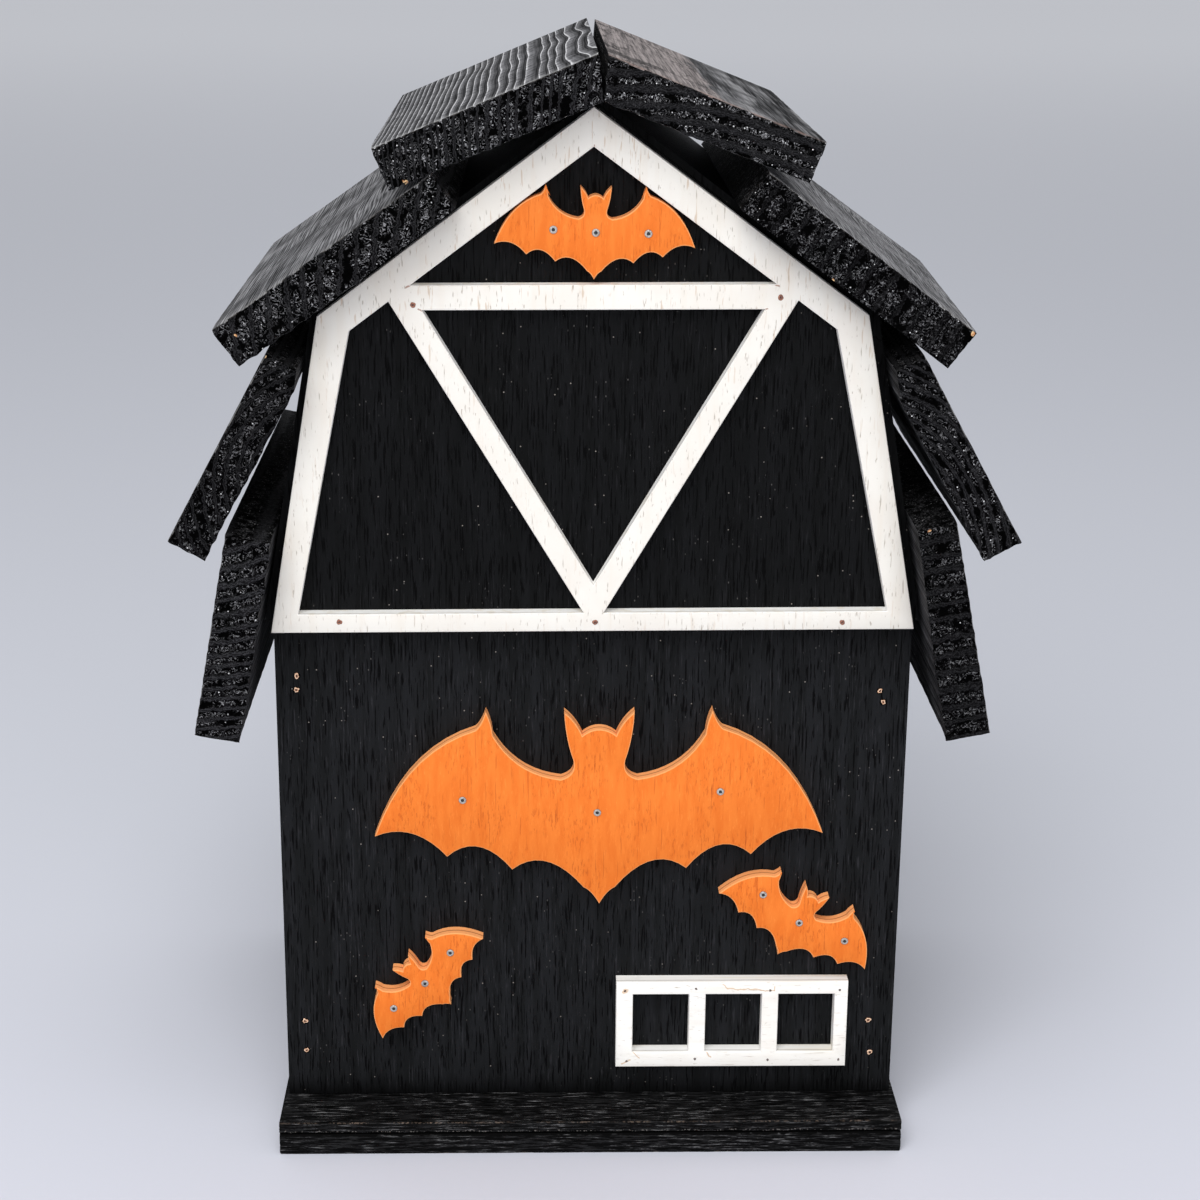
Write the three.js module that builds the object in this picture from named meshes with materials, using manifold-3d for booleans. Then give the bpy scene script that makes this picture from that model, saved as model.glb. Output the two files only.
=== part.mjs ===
import * as THREE from "three";
import { ConvexGeometry } from "three/addons/geometries/ConvexGeometry.js";
import { mergeVertices } from "three/addons/utils/BufferGeometryUtils.js";
import Module from "manifold-3d";

// A bat box made like a small gambrel barn: painted boards nailed on a plywood body that holds
// six roosting chambers side by side, open downwards through the base.
// Millimetres. +X is to the right seen from the front, +Y to the back, +Z up.
// The origin lies on the underside of the base, at its middle.

// Whole box
const DEPTH = 304.8;
const BASE_WIDTH = 355.6;
const BASE_LOWER_THICKNESS = 12.5;
const BASE_UPPER_THICKNESS = 7.3;
const FRONT_LEDGE = 34.5;

// Body outline: in from the base at each side, then the height of each stretch upwards
const BASE_SIDE_MARGIN = 2.8;
const KNEE_INSET = 30.5;
const UPRIGHT_RISE = 286;
const LEAN_RISE = 173.1;
const RAFTER_RISE = 107.3;

// Body boards
const FRONT_PANEL_THICKNESS = 9;
const BACK_PANEL_THICKNESS = 12;
const WALL_THICKNESS = 19;
const WALL_PROUD = 5.7;
const DECK_THICKNESS = 12;
const DECK_PROUD = 3.8;

// Roosting partitions and the way in
const PARTITION_COUNT = 5;
const PARTITION_THICKNESS = 9;
const PARTITION_LIFT = 25;
const PARTITION_TOP_DROP = 22;
const DADO_DEPTH = 4;
const ENTRY_MARGIN = 6;

// Roof boards: thickness, width up the slope, and how far the low edge runs past what carries it
const RIDGE_BOARD_THICKNESS = 22.4;
const RIDGE_BOARD_LAP = 23.4;
const RIDGE_JOINT_SHIFT = 1.9;
const RIDGE_JOINT_FOOT_GAP = 0.6;
const RIDGE_JOINT_TOP_GAP = 4.6;
const RAFTER_BOARD_THICKNESS = 23.3;
const RAFTER_BOARD_WIDTH = 139;
const RAFTER_BOARD_OVERHANG = 41;
const RAFTER_BOARD_RIGHT_FLARE = 20;
const RAFTER_BOARD_RIGHT_LIFT = 3;
const KNEE_BOARD_THICKNESS = 21.8;
const KNEE_BOARD_WIDTH = 115.3;
const KNEE_BOARD_LEFT_LAP = 21.7;
const KNEE_BOARD_RIGHT_LAP = 26.8;
const KNEE_BOARD_LEFT_TILT_DEG = 60.3;
const KNEE_BOARD_RIGHT_TILT_DEG = 61;
const KNEE_BOARD_LEFT_SLIT = 2;
const KNEE_BOARD_RIGHT_SLIT = 0.6;
const EAVE_BOARD_THICKNESS = 24;
const EAVE_BOARD_LEFT_WIDTH = 115;
const EAVE_BOARD_RIGHT_WIDTH = 121.5;
const EAVE_BOARD_FOOT_DROP = 56.1;

// White trim on the gable
const TRIM_THICKNESS = 9;
const TRIM_RAIL_HEIGHT = 10.2;
const TRIM_LEG_FOOT_WIDTH = 13.1;
const TRIM_LEG_KNEE_WIDTH = 18;
const TRIM_RAFTER_WIDTH = 16;
const TRIM_CROSS_BAR = 13;
const TRIM_ATTIC_SILL_RISE = 16.2;
const TRIM_CENTRE_INSET = 6;
const TRIM_NOTCH_RISE = 25.6;
const TRIM_BRACE_WIDTH = 12.5;
const TRIM_TURN_DEG = 0.4;
const TRIM_SHIFT = -1.75;

// Window frame
const WINDOW_THICKNESS = 9;
const WINDOW_SIDE_MARGIN = 27.8;
const WINDOW_SILL_HEIGHT = 21.5;
const WINDOW_WIDTH = 132.9;
const WINDOW_HEIGHT = 53.8;
const WINDOW_LEFT_STILE = 9.5;
const WINDOW_RIGHT_STILE = 7.6;
const WINDOW_MULLION = 9.4;
const WINDOW_TOP_RAIL = 7.8;
const WINDOW_BOTTOM_RAIL = 9.3;
const WINDOW_PANE_COUNT = 3;

// Cut-out bats: tip to tip span, middle between the wing tips as a share of half the body's
// width and a height above the base, turn seen from the front, and the brads as shares of half
// the span. The small right bat keeps its rise above the window and the large bat its rise above
// that one. The attic bat fills its field but for two gaps.
const BAT_THICKNESS = 9;
const SMALL_RIGHT_BAT_RISE = 31.2;
const LARGE_BAT_RISE = 59.7;
const SMALL_RIGHT_BAT_HEIGHT = WINDOW_SILL_HEIGHT + WINDOW_HEIGHT + SMALL_RIGHT_BAT_RISE;
const ATTIC_BAT_TAIL_GAP = 2.9;
const ATTIC_BAT_THUMB_GAP = 0.9;
const LARGE_BAT = {
  name: "large_bat",
  span: 250.7,
  acrossShare: 0.0211,
  height: SMALL_RIGHT_BAT_HEIGHT + LARGE_BAT_RISE,
  turnDeg: 0.4,
  bradShares: [[-0.607, 0.172], [-0.009, 0.108], [0.538, 0.203]],
};
const ATTIC_BAT = {
  name: "attic_bat",
  acrossShare: -0.008,
  turnDeg: -1,
  bradShares: [[-0.415, 0.153], [0.007, 0.132], [0.53, 0.134]],
};
const SMALL_LEFT_BAT = {
  name: "small_left_bat",
  span: 85.1,
  acrossShare: -0.5177,
  height: 71.3,
  turnDeg: 47.2,
  bradShares: [[-0.56, 0.196], [-0.003, 0.135], [0.56, 0.188]],
};
const SMALL_RIGHT_BAT = {
  name: "small_right_bat",
  span: 96.9,
  acrossShare: 0.6514,
  height: SMALL_RIGHT_BAT_HEIGHT,
  turnDeg: -29.3,
  bradShares: [[-0.545, 0.24], [0.009, 0.138], [0.595, 0.199]],
};

// Right half of a bat in shares of half its span, from the tail round the wing to the crown.
// Each step ends at a point and bends towards the point before it in the step.
const BAT_TAIL_SHARE = [0, -0.335];
const BAT_THUMB_SHARE = [0.5, 0.585];
const BAT_EDGE_SHARES = [
  [[0.035, -0.27], [0.07, -0.255]],
  [[0.24, -0.045], [0.39, -0.165]],
  [[0.54, 0.025], [0.68, -0.1]],
  [[0.83, 0.075], [1, 0]],
  [[0.86, 0.4], [0.545, 0.5]],
  [[0.515, 0.53], BAT_THUMB_SHARE],
  [[0.475, 0.535], [0.47, 0.475]],
  [[0.37, 0.29], [0.17, 0.265]],
  [[0.1, 0.285], [0.115, 0.355]],
  [[0.15, 0.46], [0.155, 0.58]],
  [[0.1, 0.535], [0.075, 0.47]],
];
const BAT_CROWN_SHARE = [0, 0.5];
const BAT_BROW_SHARE = [0.04, 0.5];

// Fasteners
const BRAD = { head: 4.2, headDepth: 1, cup: 2.4, cupDepth: 0.6, shank: 1.8, length: 15, tip: 2 };
const PANEL_NAIL = { head: 3.4, headDepth: 2, cup: 1.6, cupDepth: 0.5, shank: 2, length: 30, tip: 3 };
const TRIM_NAIL = { head: 3.3, headDepth: 1.2, cup: 1.4, cupDepth: 0.5, shank: 1.6, length: 16, tip: 2 };
const BASE_SCREW = { head: 8, headDepth: 3, cup: 4, cupDepth: 1.6, shank: 4, length: 50, tip: 6 };
const BASE_SCREW_INSET = 70;
const SCREW_SINK = 0.5;

// Nail places on the front panel: side, then shares of the wall's thickness in from the side
// and of the upright rise up from the base
const PANEL_NAIL_SHARES = [
  { side: -1, inward: 0.584, upward: 0.8703 },
  { side: -1, inward: 0.626, upward: 0.8986 },
  { side: -1, inward: 0.542, upward: 0.164 },
  { side: -1, inward: 0.574, upward: 0.099 },
  { side: 1, inward: 0.737, upward: 0.8451 },
  { side: 1, inward: 0.842, upward: 0.8678 },
  { side: 1, inward: 0.742, upward: 0.1612 },
  { side: 1, inward: 0.637, upward: 0.0888 },
];

// Nail places on the trim: down the cross bar, left and right, and along half the bottom rail
const TRIM_KNEE_NAIL_SHARES = [0.83, 0.47];
const TRIM_RAIL_NAIL_SHARES = [-0.791, 0.002, 0.772];

// Gaps, overruns and facets
const SEAT_GAP = 0.3;
const OVERRUN = 5;
const MERGE_DISTANCE = 1e-4;
const NAIL_FACET_COUNT = 12;
const CURVE_STEP_COUNT = 7;

// Places worked out from the sizes
const BODY_WIDTH = BASE_WIDTH - 2 * BASE_SIDE_MARGIN;
const FRONT_Y = -DEPTH / 2;
const BACK_Y = DEPTH / 2;
const PANEL_FRONT_Y = FRONT_Y + FRONT_LEDGE;
const INNER_FRONT_Y = PANEL_FRONT_Y + FRONT_PANEL_THICKNESS;
const INNER_BACK_Y = BACK_Y - BACK_PANEL_THICKNESS;
const BASE_TOP = BASE_LOWER_THICKNESS + BASE_UPPER_THICKNESS;
const CHAMBER_DEPTH =
  (INNER_BACK_Y - INNER_FRONT_Y - PARTITION_COUNT * PARTITION_THICKNESS) / (PARTITION_COUNT + 1);
const WALL_INNER_X = BODY_WIDTH / 2 - WALL_THICKNESS;
const WALL_FRONT_Y = INNER_FRONT_Y + SEAT_GAP;
const WALL_LENGTH = INNER_BACK_Y - SEAT_GAP - WALL_FRONT_Y;

const BLACK_PAINT = { color: 0x17181a, roughness: 0.55, metalness: 0 };
const WHITE_PAINT = { color: 0xe9e4da, roughness: 0.6, metalness: 0 };
const ORANGE_PAINT = { color: 0xf98b3a, roughness: 0.55, metalness: 0 };
const BARE_PLYWOOD = { color: 0xb98f5e, roughness: 0.8, metalness: 0 };
const STEEL = { color: 0xb4b6b8, roughness: 0.35, metalness: 0.9 };

const wasm = await Module();
wasm.setup();

/** The closed solid of a geometry, ready for cutting. */
function solidOf(geometry) {
  const bare = geometry.index ? geometry.toNonIndexed() : geometry.clone();
  bare.deleteAttribute("normal");
  bare.deleteAttribute("uv");
  const merged = mergeVertices(bare, MERGE_DISTANCE);
  return new wasm.Manifold(
    new wasm.Mesh({
      numProp: 3,
      vertProperties: merged.attributes.position.array,
      triVerts: new Uint32Array(merged.index.array),
    }),
  );
}

/** The geometry left after every cutter is taken out of a geometry. */
function cut(geometry, cutters) {
  let solid = solidOf(geometry);
  for (const cutter of cutters) {
    solid = solid.subtract(solidOf(cutter));
  }
  const mesh = solid.getMesh();
  const result = new THREE.BufferGeometry();
  result.setAttribute("position", new THREE.BufferAttribute(mesh.vertProperties, 3));
  result.setIndex(new THREE.BufferAttribute(mesh.triVerts, 1));
  result.computeVertexNormals();
  return result;
}

/** A point in the plane of the gable: x sideways, z up. */
const at = (x, z) => new THREE.Vector2(x, z);

/** The straight line from one point towards another. */
const lineOf = (from, to) => ({ from, along: to.clone().sub(from).normalize() });

/** A level line at a height. */
const levelAt = (z) => ({ from: at(0, z), along: at(1, 0) });

/** An upright line at a distance from the middle. */
const uprightAt = (x) => ({ from: at(x, 0), along: at(0, 1) });

/** The line moved sideways, to the left of the way it runs. */
function shifted(line, distance) {
  const aside = at(-line.along.y, line.along.x).multiplyScalar(distance);
  return { from: line.from.clone().add(aside), along: line.along };
}

/** The point where two lines cross. */
function crossing(a, b) {
  const between = b.from.clone().sub(a.from);
  const run = between.cross(b.along) / a.along.cross(b.along);
  return a.from.clone().addScaledVector(a.along, run);
}

/** The part of a convex outline that lies to the right of a line. */
function clipped(outline, line) {
  const sideOf = (p) => line.along.cross(p.clone().sub(line.from));
  const kept = [];
  outline.forEach((p, i) => {
    const next = outline[(i + 1) % outline.length];
    if (sideOf(p) <= 0) kept.push(p);
    if (sideOf(p) * sideOf(next) < 0) kept.push(crossing(lineOf(p, next), line));
  });
  return kept;
}

/** An outline turned over to the left side of the box. */
const mirrored = (outline) => outline.map((p) => at(-p.x, p.y)).reverse();

/** The full outline of a shape that is given by its right half, from the foot to the top. */
function bothSides(rightHalf) {
  return [...rightHalf, ...mirrored(rightHalf).filter((p) => p.x < 0)];
}

/** A board whose section is the outline and which runs back from local y = 0 by its length. */
function board(outline, length) {
  const shape = new THREE.Shape(outline);
  const geometry = new THREE.ExtrudeGeometry(shape, { depth: length, bevelEnabled: false });
  geometry.rotateX(Math.PI / 2);
  return geometry.translate(0, length, 0);
}

/** A board between two like outlines, the first at local y = 0 and the second at its length. */
function taperedBoard(outline, farOutline, length) {
  const near = outline.map((p) => new THREE.Vector3(p.x, 0, p.y));
  const far = farOutline.map((p) => new THREE.Vector3(p.x, length, p.y));
  return new ConvexGeometry([...near, ...far]);
}

/** Cutters that go right through a board of a given length, one for each hole outline. */
function throughHoles(outlines, length) {
  return outlines.map((outline) => board(outline, length + 2 * OVERRUN).translate(0, -OVERRUN, 0));
}

/** A box between two corners. */
function block(low, high) {
  const size = high.clone().sub(low);
  const middle = low.clone().add(high).multiplyScalar(0.5);
  return new THREE.BoxGeometry(size.x, size.y, size.z).translate(middle.x, middle.y, middle.z);
}

/** A nail that points along +Y with the face of its head at y = 0. */
function nail(size) {
  const profile = [
    at(0, size.cupDepth),
    at(size.cup / 2, 0),
    at(size.head / 2, 0),
    at(size.head / 2, size.headDepth),
    at(size.shank / 2, size.headDepth),
    at(size.shank / 2, size.length - size.tip),
    at(0, size.length),
  ];
  return new THREE.LatheGeometry(profile, NAIL_FACET_COUNT);
}

/** The hole that a nail fills, open past the face of its head. */
function nailHole(size) {
  const headRadius = size.head / 2 + SEAT_GAP;
  const shankRadius = size.shank / 2 + SEAT_GAP;
  const profile = [
    at(0, -OVERRUN),
    at(headRadius, -OVERRUN),
    at(headRadius, size.headDepth + SEAT_GAP),
    at(shankRadius, size.headDepth + SEAT_GAP),
    at(shankRadius, size.length + SEAT_GAP),
    at(0, size.length + SEAT_GAP),
  ];
  return new THREE.LatheGeometry(profile, NAIL_FACET_COUNT);
}

/** A named mesh with its finish. */
function piece(name, geometry, finish) {
  const mesh = new THREE.Mesh(geometry, new THREE.MeshStandardMaterial(finish));
  mesh.name = name;
  return mesh;
}

// Right half of the body outline
const foot = at(BODY_WIDTH / 2, BASE_TOP + SEAT_GAP);
const leanStart = at(BODY_WIDTH / 2, BASE_TOP + UPRIGHT_RISE);
const knee = at(BODY_WIDTH / 2 - KNEE_INSET, leanStart.y + LEAN_RISE);
const apex = at(0, knee.y + RAFTER_RISE);
const leanLine = lineOf(leanStart, knee);
const rafterLine = lineOf(knee, apex);
const wallFace = shifted(leanLine, -WALL_PROUD);
const wallInside = shifted(wallFace, WALL_THICKNESS);
const deckTop = shifted(rafterLine, -DECK_PROUD);
const deckUnderside = shifted(deckTop, DECK_THICKNESS);

// Lines of the trim's fields
const atticSill = levelAt(knee.y + TRIM_ATTIC_SILL_RISE);
const rafterInside = shifted(rafterLine, TRIM_RAFTER_WIDTH);
const atticCorner = crossing(atticSill, rafterInside);
const atticPeak = crossing(rafterInside, uprightAt(0));
const centreCorner = at(atticCorner.x - TRIM_CENTRE_INSET, atticSill.from.y - TRIM_CROSS_BAR);

/** The attic bat, as large as its field lets it be. */
function fittedAtticBat() {
  const slope = (atticPeak.y - atticCorner.y) / atticCorner.x;
  const [thumbAcross, thumbUp] = BAT_THUMB_SHARE;
  const tailDown = -BAT_TAIL_SHARE[1];
  const room = atticPeak.y - atticCorner.y - ATTIC_BAT_TAIL_GAP - ATTIC_BAT_THUMB_GAP;
  const halfSpan = room / (tailDown + thumbUp + slope * thumbAcross);
  const height = atticCorner.y - BASE_TOP + ATTIC_BAT_TAIL_GAP + tailDown * halfSpan;
  return { ...ATTIC_BAT, span: 2 * halfSpan, height };
}

/** The place on the panel of a nail that is given by shares. */
function panelNailSpot({ side, inward, upward }) {
  return at(side * (BODY_WIDTH / 2 - inward * WALL_THICKNESS), BASE_TOP + upward * UPRIGHT_RISE);
}

/** Where the brads of a bat go, in the bat's own plane. */
function bradPlaces(bat) {
  return bat.bradShares.map(([x, z]) => at(x, z).multiplyScalar(bat.span / 2));
}

/** The place on the gable of a point that is given in a bat's own plane. */
function onGable(bat, place) {
  const turned = place.clone().rotateAround(at(0, 0), THREE.MathUtils.degToRad(bat.turnDeg));
  return turned.add(at((bat.acrossShare * BODY_WIDTH) / 2, BASE_TOP + bat.height));
}

/** Knee and rail nails of the trim, as places on the gable. */
function trimNailPlaces() {
  const braceHead = centreCorner.x + TRIM_BRACE_WIDTH / 2;
  const kneePlaces = TRIM_KNEE_NAIL_SHARES.map((share, i) =>
    at(i === 0 ? -braceHead : braceHead, atticSill.from.y - share * TRIM_CROSS_BAR),
  );
  const rail = leanStart.y + TRIM_RAIL_HEIGHT / 2;
  const railPlaces = TRIM_RAIL_NAIL_SHARES.map((share) => at((share * BODY_WIDTH) / 2, rail));
  return [...kneePlaces, ...railPlaces];
}

const BATS = [LARGE_BAT, fittedAtticBat(), SMALL_LEFT_BAT, SMALL_RIGHT_BAT];

/** The front panel with the pilot holes of everything that is nailed on it or through it. */
function frontPanel() {
  const panel = board(bothSides([foot, leanStart, knee, apex]), FRONT_PANEL_THICKNESS);
  panel.translate(0, PANEL_FRONT_Y, 0);
  const batFace = PANEL_FRONT_Y - SEAT_GAP - BAT_THICKNESS;
  const holes = BATS.flatMap((bat) =>
    bradPlaces(bat).map((place) => {
      const spot = onGable(bat, place);
      return nailHole(BRAD).translate(spot.x, batFace, spot.y);
    }),
  );
  for (const spot of PANEL_NAIL_SHARES.map(panelNailSpot)) {
    holes.push(nailHole(PANEL_NAIL).translate(spot.x, PANEL_FRONT_Y, spot.y));
  }
  for (const spot of trimNailPlaces()) {
    holes.push(nailHole(TRIM_NAIL).translate(spot.x, PANEL_FRONT_Y - SEAT_GAP - TRIM_THICKNESS, spot.y));
  }
  return cut(panel, holes);
}

/** The outer y of the front face of each partition. */
function partitionFront(index) {
  return INNER_FRONT_Y + CHAMBER_DEPTH + index * (PARTITION_THICKNESS + CHAMBER_DEPTH);
}

/** An upright side wall, grooved inside for the partitions; side is 1 right and -1 left. */
function sideWall(side) {
  const outline = [
    at(WALL_INNER_X, foot.y),
    foot,
    leanStart,
    at(WALL_INNER_X, leanStart.y),
  ];
  const wall = board(side > 0 ? outline : mirrored(outline), WALL_LENGTH);
  wall.translate(0, WALL_FRONT_Y, 0);
  const grooves = Array.from({ length: PARTITION_COUNT }, (_, i) => {
    const innerEdge = side * (WALL_INNER_X - OVERRUN);
    const grooveFloor = side * (WALL_INNER_X + DADO_DEPTH);
    const front = partitionFront(i) - SEAT_GAP;
    const back = partitionFront(i) + PARTITION_THICKNESS + SEAT_GAP;
    return block(
      new THREE.Vector3(Math.min(innerEdge, grooveFloor), front, BASE_TOP - OVERRUN),
      new THREE.Vector3(Math.max(innerEdge, grooveFloor), back, leanStart.y + OVERRUN),
    );
  });
  const spots = PANEL_NAIL_SHARES.filter((shares) => shares.side === side).map(panelNailSpot);
  const nailHoles = spots.map((spot) => nailHole(PANEL_NAIL).translate(spot.x, PANEL_FRONT_Y, spot.y));
  return cut(wall, [...grooves, ...nailHoles, ...screwHoles(side)]);
}

/** The places of the two screws that hold one wall on the base. */
function screwSpots(side) {
  const middle = side * (BODY_WIDTH / 2 - WALL_THICKNESS / 2 + DADO_DEPTH / 2);
  return [FRONT_Y + FRONT_LEDGE + BASE_SCREW_INSET, BACK_Y - BASE_SCREW_INSET].map((y) => at(middle, y));
}

/** Upright holes for those screws, from the underside of the base. */
function screwHoles(side) {
  return screwSpots(side).map((spot) =>
    nailHole(BASE_SCREW)
      .rotateX(Math.PI / 2)
      .translate(spot.x, spot.y, SCREW_SINK),
  );
}

/** A leaning wall between the upright wall and the roof deck. */
function leanWall(side) {
  const bottom = levelAt(leanStart.y + SEAT_GAP);
  const outline = [
    crossing(bottom, wallInside),
    crossing(bottom, wallFace),
    crossing(wallFace, shifted(deckUnderside, SEAT_GAP)),
    crossing(wallInside, shifted(deckUnderside, SEAT_GAP)),
  ];
  const wall = board(side > 0 ? outline : mirrored(outline), WALL_LENGTH);
  return wall.translate(0, WALL_FRONT_Y, 0);
}

/** One slope of the plywood deck under the rafter and ridge boards. */
function roofDeck(side) {
  const ridgeCut = uprightAt(SEAT_GAP / 2);
  const outline = [
    crossing(deckUnderside, wallFace),
    crossing(deckTop, wallFace),
    crossing(deckTop, ridgeCut),
    crossing(deckUnderside, ridgeCut),
  ];
  const deck = board(side > 0 ? outline : mirrored(outline), WALL_LENGTH);
  return deck.translate(0, WALL_FRONT_Y, 0);
}

/** A roosting partition, held in the grooves of the side walls. */
function partition(index) {
  const edge = uprightAt(WALL_INNER_X + DADO_DEPTH - SEAT_GAP);
  const clearOfWall = shifted(wallInside, SEAT_GAP);
  const rightHalf = [
    crossing(edge, levelAt(BASE_TOP + PARTITION_LIFT)),
    crossing(edge, clearOfWall),
    crossing(clearOfWall, levelAt(knee.y - PARTITION_TOP_DROP)),
  ];
  return board(bothSides(rightHalf), PARTITION_THICKNESS).translate(0, partitionFront(index), 0);
}

/** One layer of the base, with the bats' way in through its middle. */
function baseLayer(bottom, top) {
  const outline = bothSides([at(BASE_WIDTH / 2, bottom), at(BASE_WIDTH / 2, top)]);
  const wayIn = block(
    new THREE.Vector3(ENTRY_MARGIN - WALL_INNER_X, INNER_FRONT_Y + ENTRY_MARGIN, bottom - OVERRUN),
    new THREE.Vector3(WALL_INNER_X - ENTRY_MARGIN, INNER_BACK_Y - ENTRY_MARGIN, top + OVERRUN),
  );
  const slab = board(outline, DEPTH).translate(0, FRONT_Y, 0);
  return cut(slab, [wayIn, ...screwHoles(-1), ...screwHoles(1)]);
}

/** A square-ended board that lies to the left of a line, from a point up the line. */
function plank(line, start, width, thickness) {
  const aside = at(-line.along.y, line.along.x).multiplyScalar(-thickness);
  const end = start.clone().addScaledVector(line.along, width);
  return [start, start.clone().add(aside), end.clone().add(aside), end];
}

/** The eave board section: flat on the leaning wall, given by its foot. */
function eaveSection(width) {
  const seat = shifted(wallFace, -SEAT_GAP);
  const start = crossing(seat, levelAt(leanStart.y - EAVE_BOARD_FOOT_DROP));
  return plank(seat, start, width, EAVE_BOARD_THICKNESS);
}

/** The rafter board section: flat on the roof deck. */
function rafterSection() {
  const seat = shifted(deckTop, -SEAT_GAP);
  const deckEave = crossing(seat, shifted(wallFace, -SEAT_GAP));
  const start = deckEave.addScaledVector(seat.along, -RAFTER_BOARD_OVERHANG);
  return plank(seat, start, RAFTER_BOARD_WIDTH, RAFTER_BOARD_THICKNESS);
}

/** The rafter board, whose low edge may run out and rise a little towards the back. */
function rafterBoard(side, flare, lift) {
  const section = rafterSection();
  const seat = shifted(deckTop, -SEAT_GAP);
  const out = seat.along.clone().multiplyScalar(-flare);
  const up = at(seat.along.y, -seat.along.x).multiplyScalar(lift);
  const [lowFoot, lowTop, highTop, highFoot] = section;
  const farSection = [lowFoot.clone().add(out), lowTop.clone().add(out).add(up), highTop, highFoot];
  const faced = (outline) => (side > 0 ? outline : mirrored(outline));
  return taperedBoard(faced(section), faced(farSection), DEPTH);
}

/** The knee board section: over the top corner of the eave board, its head cut to the wall. */
function kneeSection({ eaveWidth, lap, slit, tiltDeg }) {
  const tilt = THREE.MathUtils.degToRad(tiltDeg);
  const upSlope = at(-Math.cos(tilt), Math.sin(tilt));
  const eaveCorner = eaveSection(eaveWidth)[2];
  const underside = shifted({ from: eaveCorner, along: upSlope }, -slit);
  const start = underside.from.clone().addScaledVector(upSlope, -lap);
  const outline = plank(underside, start, KNEE_BOARD_WIDTH, KNEE_BOARD_THICKNESS);
  const underRafter = shifted(deckTop, -SEAT_GAP);
  const onWall = shifted(wallFace, -SEAT_GAP);
  const belowRafter = { from: underRafter.from, along: underRafter.along.clone().negate() };
  return clipped(clipped(outline, onWall), shifted(belowRafter, -SEAT_GAP));
}

/** The ridge board section: from the crest of the deck to the inner corner of the rafter board. */
function ridgeSection(side) {
  const crest = crossing(deckTop, uprightAt(0));
  const corner = rafterSection()[2];
  const lift = at(0, SEAT_GAP);
  const underside = lineOf(corner.clone().add(lift), crest.clone().add(lift));
  const top = shifted(underside, -RIDGE_BOARD_THICKNESS);
  const lowOuter = underside.from.clone().addScaledVector(underside.along, -RIDGE_BOARD_LAP);
  const squareEnd = { from: lowOuter, along: at(underside.along.y, -underside.along.x) };
  const joint = side * RIDGE_JOINT_SHIFT;
  return [
    lowOuter,
    crossing(top, squareEnd),
    crossing(top, uprightAt(joint + RIDGE_JOINT_TOP_GAP / 2)),
    crossing(underside, uprightAt(joint + RIDGE_JOINT_FOOT_GAP / 2)),
  ];
}

/** The trim round the gable: two legs, two rafters, a cross bar, a V brace and a bottom rail. */
function barnTrim() {
  const railTop = levelAt(leanStart.y + TRIM_RAIL_HEIGHT);
  const legInside = lineOf(
    at(crossing(leanLine, railTop).x - TRIM_LEG_FOOT_WIDTH, railTop.from.y),
    at(knee.x - TRIM_LEG_KNEE_WIDTH, knee.y),
  );
  const notch = at(0, leanStart.y + TRIM_NOTCH_RISE);
  const braceOutside = shifted(lineOf(notch, centreCorner), -TRIM_BRACE_WIDTH);
  const atticHole = bothSides([atticCorner, atticPeak]);
  const centreHole = bothSides([notch, centreCorner]);
  const sideHole = [
    crossing(braceOutside, railTop),
    crossing(legInside, railTop),
    crossing(legInside, rafterInside),
    crossing(rafterInside, braceOutside),
  ];
  const holes = throughHoles([atticHole, centreHole, sideHole, mirrored(sideHole)], TRIM_THICKNESS);
  return cut(board(bothSides([leanStart, knee, apex]), TRIM_THICKNESS), holes);
}

/** The window frame, a board with its panes cut out. */
function windowFrame() {
  const outline = [at(0, 0), at(WINDOW_WIDTH, 0), at(WINDOW_WIDTH, WINDOW_HEIGHT), at(0, WINDOW_HEIGHT)];
  const glazed =
    WINDOW_WIDTH - WINDOW_LEFT_STILE - WINDOW_RIGHT_STILE - (WINDOW_PANE_COUNT - 1) * WINDOW_MULLION;
  const pane = glazed / WINDOW_PANE_COUNT;
  const panes = Array.from({ length: WINDOW_PANE_COUNT }, (_, i) => {
    const left = WINDOW_LEFT_STILE + i * (pane + WINDOW_MULLION);
    const top = WINDOW_HEIGHT - WINDOW_TOP_RAIL;
    return [
      at(left, WINDOW_BOTTOM_RAIL),
      at(left + pane, WINDOW_BOTTOM_RAIL),
      at(left + pane, top),
      at(left, top),
    ];
  });
  return cut(board(outline, WINDOW_THICKNESS), throughHoles(panes, WINDOW_THICKNESS));
}

/** The outline of a bat, wings spread, with its middle between the wing tips. */
function batOutline(span) {
  const scaled = ([x, z]) => at(x, z).multiplyScalar(span / 2);
  const tail = scaled(BAT_TAIL_SHARE);
  const rightHalf = [tail];
  let from = tail;
  for (const [bend, to] of [...BAT_EDGE_SHARES, [BAT_BROW_SHARE, BAT_CROWN_SHARE]]) {
    const curve = new THREE.QuadraticBezierCurve(from, scaled(bend), scaled(to));
    rightHalf.push(...curve.getPoints(CURVE_STEP_COUNT).slice(1));
    from = scaled(to);
  }
  return bothSides(rightHalf);
}

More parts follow.
